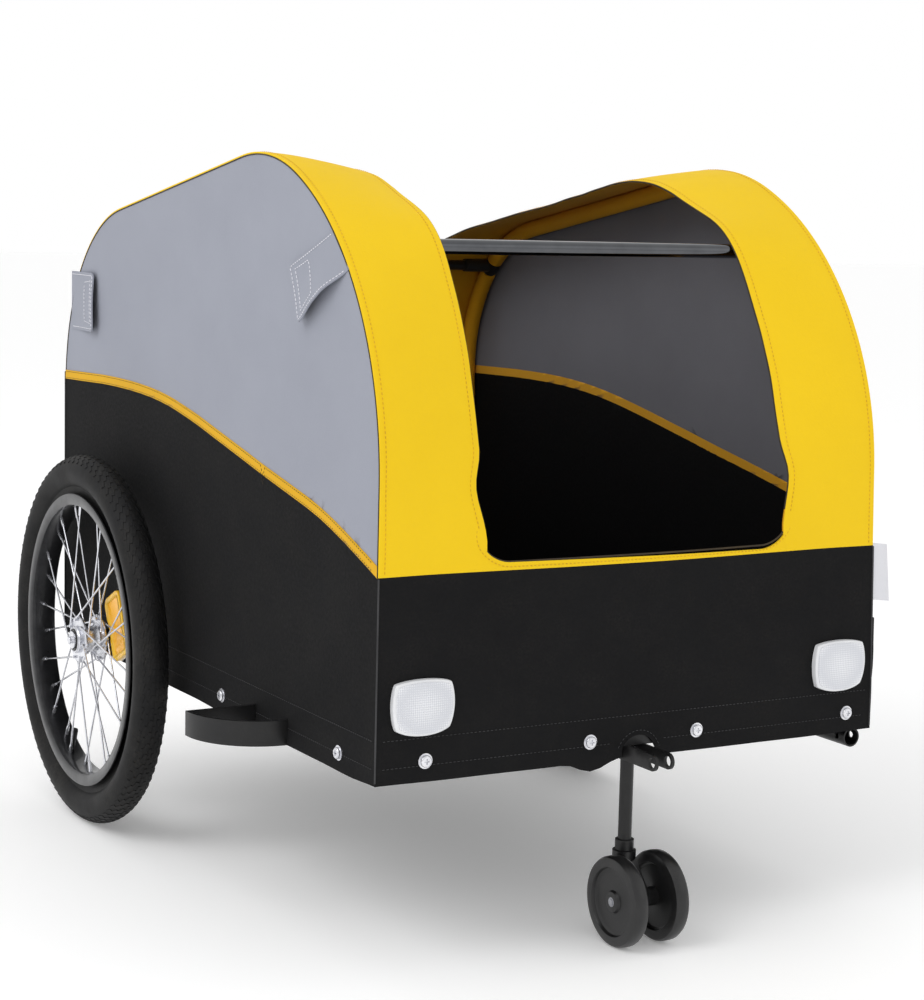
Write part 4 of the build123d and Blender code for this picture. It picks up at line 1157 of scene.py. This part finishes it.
def makeSpokeEnds(side, centre, flip):
    nipples, heads = bmesh.new(), bmesh.new()
    step = math.tau / wheel["spokes"]
    for flange in (-1, 1):
        for index in range(wheel["spokes"]):
            lead = 1 if index % 2 else -1
            angle = index * step + flange * step / 4
            offset = flip * flange * (wheel["flange"] + lead * wheel["flangeSide"]) / 1000
            start = wheelPlace(centre, offset, wheel["spokeFoot"], angle)
            tipAngle = angle + lead * wheel["cross"] * step
            end = wheelPlace(centre, flip * flange * 0.003, wheel["spokeTip"], tipAngle)
            along = (end - start).normalized()
            turn = along.to_track_quat("Z", "Y").to_matrix().to_4x4()
            middle = end - along * (wheel["nippleLength"] / 2 - 0.001)
            addCone(nipples, 8, 0.0017, wheel["nippleRadius"], wheel["nippleLength"],
                    Matrix.Translation(middle) @ turn)
            addCone(heads, 8, wheel["headRadius"], wheel["headRadius"], wheel["headLength"],
                    Matrix.Translation(start) @ Matrix.Rotation(math.pi / 2, 4, "Y"))
    for bm, name in ((nipples, "nipples"), (heads, "spokeHeads")):
        finishPiece(bm, f"{name}_{side}", [looks["spokeSteel"]], f"wheel_{side}",
                    sharpAngle=30)


def makeValve(side, centre):
    bm = bmesh.new()
    for radius1, radius2, depth, reach in wheel["valve"]:
        place = wheelPlace(centre, 0.0, reach, math.radians(wheel["valveAngle"]))
        along = (place - centre).normalized().to_track_quat("Z", "Y").to_matrix().to_4x4()
        addCone(bm, 16, radius1, radius2, depth, Matrix.Translation(place) @ along)
    finishPiece(bm, f"valve_{side}", [looks["plasticBlack"]], f"wheel_{side}", sharpAngle=30)


def makeSpokeReflector(side):
    node = f"spoke_reflector_{side}"
    bm = mergedCopy(node)
    roundEdges(bm, 1.2, 0.0014, 2)
    big = sorted(bm.faces, key=lambda face: face.calc_area())[-2:]
    bmesh.ops.inset_region(bm, faces=big, thickness=0.0045, depth=0.0, use_even_offset=True)
    bmesh.ops.inset_region(bm, faces=big, thickness=0.0008, depth=-0.0016, use_even_offset=True)
    for face in big:
        face.material_index = 1
    finishPiece(bm, f"spokeLens_{side}", [looks["lensAmberSmooth"], looks["lensAmber"]], f"wheel_{side}",
                [node], 30)


for side, flip in sides:
    low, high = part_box(f"tyre_{side}")
    centre = (low + high) / 2
    makeTyre(side, centre)
    spunPiece(f"rimRing_{side}", [rimProfile], centre, wheel["steps"], [looks["rimBlack"]], f"wheel_{side}",
              [f"rim_{side}"], 28)
    spunPiece(f"hubShell_{side}", [hubProfile], centre, 64, [looks["hubSteel"]], f"wheel_{side}",
              [f"hub_{side}"], 24, flip)
    spunPiece(f"hubSeals_{side}", [sealProfile, ringProfile], centre, 48,
              [looks["plasticBlack"], looks["hubSteel"]], f"wheel_{side}", (), 24, flip)
    makeSpokeEnds(side, centre, flip)
    makeValve(side, centre)
    makeSpokeReflector(side)
print("wheels made")

# caster wheels
casterOuter = [(-8.0, 32.5), (-8.0, 38.0), (-7.0, 41.2), (-4.6, 42.7), (0.0, 43.0), (4.6, 42.7), (7.0, 41.2),
               (8.0, 38.0), (8.0, 32.5), (7.4, 32.0), (5.0, 31.2), (4.2, 29.8), (4.0, 26.0), (4.0, 14.0),
               (4.2, 11.0), (6.6, 9.6), (7.0, 8.6), (7.0, 4.4), (4.2, 3.1), (-13.8, 3.1), (-14.4, 3.6),
               (-14.4, 8.4), (-13.8, 9.0), (-4.6, 9.0), (-4.0, 11.0), (-4.0, 29.8), (-5.0, 31.2), (-7.4, 32.0)]
casterHalf = 0.008
for side, flip in sides:
    low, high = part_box(f"caster_wheel_{side}")
    centre = (low + high) / 2
    centre.x = high.x - casterHalf if flip > 0 else low.x + casterHalf
    spunPiece(f"casterRoller_{side}", [casterOuter], centre, 72, [looks["casterBlack"]],
              f"caster_wheel_{side}", [f"caster_wheel_{side}"], 30, flip)
print("caster wheels made")


# reflectors on the end panels
def lensShape(centre, end, scale, depth, floorDepth):
    size = reflectors
    bm = bmesh.new()
    wide, high = size["grid"]
    made = bmesh.ops.create_grid(bm, x_segments=wide, y_segments=high, size=1.0)["verts"]
    rim = [edge for edge in {e for v in made for e in v.link_edges} if edge.is_boundary]
    for vert in made:
        u, v = vert.co.x, vert.co.y
        rounding = math.sqrt(1 - size["corner"] * u * u * v * v)
        across = u * rounding * (1 + size["taper"] * min(0.0, v))
        bow = size["bow"] * (1 - u * u) * (0.25 + 0.75 * (v < 0)) * abs(v)
        x = centre.x + scale * across * size["width"] / 2
        z = centre.z + scale * v * rounding * size["height"] / 2 + (bow if v > 0 else -bow)
        crown = size["crown"] * (1 - 0.5 * (u * u + v * v))
        vert.co = Vector((x, centre.y + end * (depth + crown), z))
    lip = bmesh.ops.extrude_edge_only(bm, edges=rim)["geom"]
    for vert in lip:
        if isinstance(vert, bmesh.types.BMVert):
            vert.co.y = centre.y + end * floorDepth
    bmesh.ops.recalc_face_normals(bm, faces=bm.faces)
    turnOut(bm, 1, end)
    return bm


def makeReflector(name, centre, end, lensLook):
    bm = lensShape(centre, end, 0.9, reflectors["depth"] - 0.0022, 0.0015)
    lens = finishPiece(bm, f"{name}Lens", [looks[lensLook]], "trailer", sharpAngle=40)
    bm = lensShape(centre, end, 1.0, reflectors["depth"] - 0.0034, 0.0002)
    roundEdges(bm, 0.9, 0.0012, 3)
    tray = finishPiece(bm, f"{name}Tray", [looks["trayWhite"]], "trailer", sharpAngle=40)
    return lens, tray


for end, label, lensLook, lensSlot in ((-1, "front", "lensClear", "reflector_clear"),
                                       (1, "rear", "lensRed", "reflector_red")):
    for side, sign in sides:
        spot = Vector((sign * reflectors["x"], walls[end], reflectors["z"]))
        lens, tray = makeReflector(f"{label}Reflector_{side}", spot, end, lensLook)
        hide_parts(f"{label}_reflector_lenses")
        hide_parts("reflector_housings")
print("reflectors made")

# CAD pieces that keep their shape
dressed = {
    "frameBlack": ["front_rail", "rear_rail", "side_rail_left", "side_rail_right", "axle_cross_tube",
                   "axle_receivers", "hoop_spigots", "wheel_guard_left", "wheel_guard_right", "drawbar_socket",
                   "side_hoop_left", "side_hoop_right", "caster_bracket", "caster_leg"],
    "barSteel": ["front_crossbar"], "barBlack": ["rear_crossbar"],
    "plasticBlack": ["crossbar_clips", "clamp_nut"], "casterBlack": ["caster_fork"],
    "spokeSteel": ["spokes_left", "spokes_right"], "bearingSteel": ["hub_bearings_left", "hub_bearings_right"],
    "hubSteel": ["wheel_axles", "axle_button_left", "axle_button_right"], "capGrey": ["caster_axle"],
    "screwSteel": ["skirt_screws", "pivot_bolt"], "boardBlack": ["floor_board"],
}
for look, names in dressed.items():
    for nodeName in names:
        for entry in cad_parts[nodeName].material_slots:
            entry.material = looks[look]
print("frame pieces dressed")

# floor, lights and camera
studio = {"white": srgb(252, 252, 252), "floorSize": 30.0, "floorGlow": 0.17, "worldStrength": 0.84,
          "lamps": {"keyLight": ((-3.0, -0.7, 3.1), 2.4, 50.0), "fillLight": ((2.2, -3.0, 1.8), 2.0, 4.0)},
          "aim": (0, 0, 0.35)}
bm = bmesh.new()
bmesh.ops.create_grid(bm, x_segments=1, y_segments=1, size=studio["floorSize"])
mesh = bpy.data.meshes.new("studioFloor")
bm.to_mesh(mesh)
bm.free()
floor = bpy.data.objects.new("studioFloor", mesh)
bpy.context.scene.collection.objects.link(floor)
floorLook = newFinish("studioFloor", {"Base Color": studio["white"], "Roughness": 0.7,
                                      "Specular IOR Level": 0.2, "Emission Color": studio["white"],
                                      "Emission Strength": studio["floorGlow"]})[0]
mesh.materials.append(floorLook)

# the world is plain white where the camera sees it, and weaker as a light
world = bpy.data.worlds.new("studioWorld")
world.use_nodes = True
worldTree = world.node_tree
seen = worldTree.nodes.new("ShaderNodeLightPath").outputs["Is Camera Ray"]
brightness = spread(worldTree, seen, 0.0, 1.0, studio["worldStrength"], 1.0)
feed(worldTree, worldTree.nodes["Background"], {"Color": (1.0, 1.0, 1.0, 1.0), "Strength": brightness})
bpy.context.scene.world = world
bpy.context.scene.view_settings.view_transform = "Standard"


def areaLight(name, place, size, power):
    data = bpy.data.lights.new(name, "AREA")
    data.shape = "RECTANGLE"
    data.size, data.size_y = size, size
    data.energy = power
    lamp = bpy.data.objects.new(name, data)
    lamp.location = place
    lamp.rotation_mode = "QUATERNION"
    lamp.rotation_quaternion = (Vector(studio["aim"]) - Vector(place)).to_track_quat("-Z", "Y")
    bpy.context.scene.collection.objects.link(lamp)


for name, given in studio["lamps"].items():
    areaLight(name, *given)

view = {"place": (-1.15108, -2.04283, 0.67222), "azimuth": -29.908, "elevation": 7.293, "roll": 1.406,
        "lens": 79.38}
azimuth, elevation, roll = [math.radians(view[k]) for k in ("azimuth", "elevation", "roll")]
back = Vector((math.sin(azimuth) * math.cos(elevation), -math.cos(azimuth) * math.cos(elevation),
               math.sin(elevation)))
right = Vector((math.cos(azimuth), math.sin(azimuth), 0.0))
up = back.cross(right)
rightRolled = right * math.cos(roll) + up * math.sin(roll)
upRolled = up * math.cos(roll) - right * math.sin(roll)
cameraData = bpy.data.cameras.new("studioCamera")
cameraData.lens = view["lens"]
cameraData.sensor_width = 36.0
camera = bpy.data.objects.new("studioCamera", cameraData)
turned = Matrix((rightRolled, upRolled, back)).transposed().to_4x4()
camera.matrix_world = Matrix.Translation(view["place"]) @ turned
bpy.context.scene.collection.objects.link(camera)
bpy.context.scene.camera = camera
print("studio set")

bpy.context.view_layer.update()
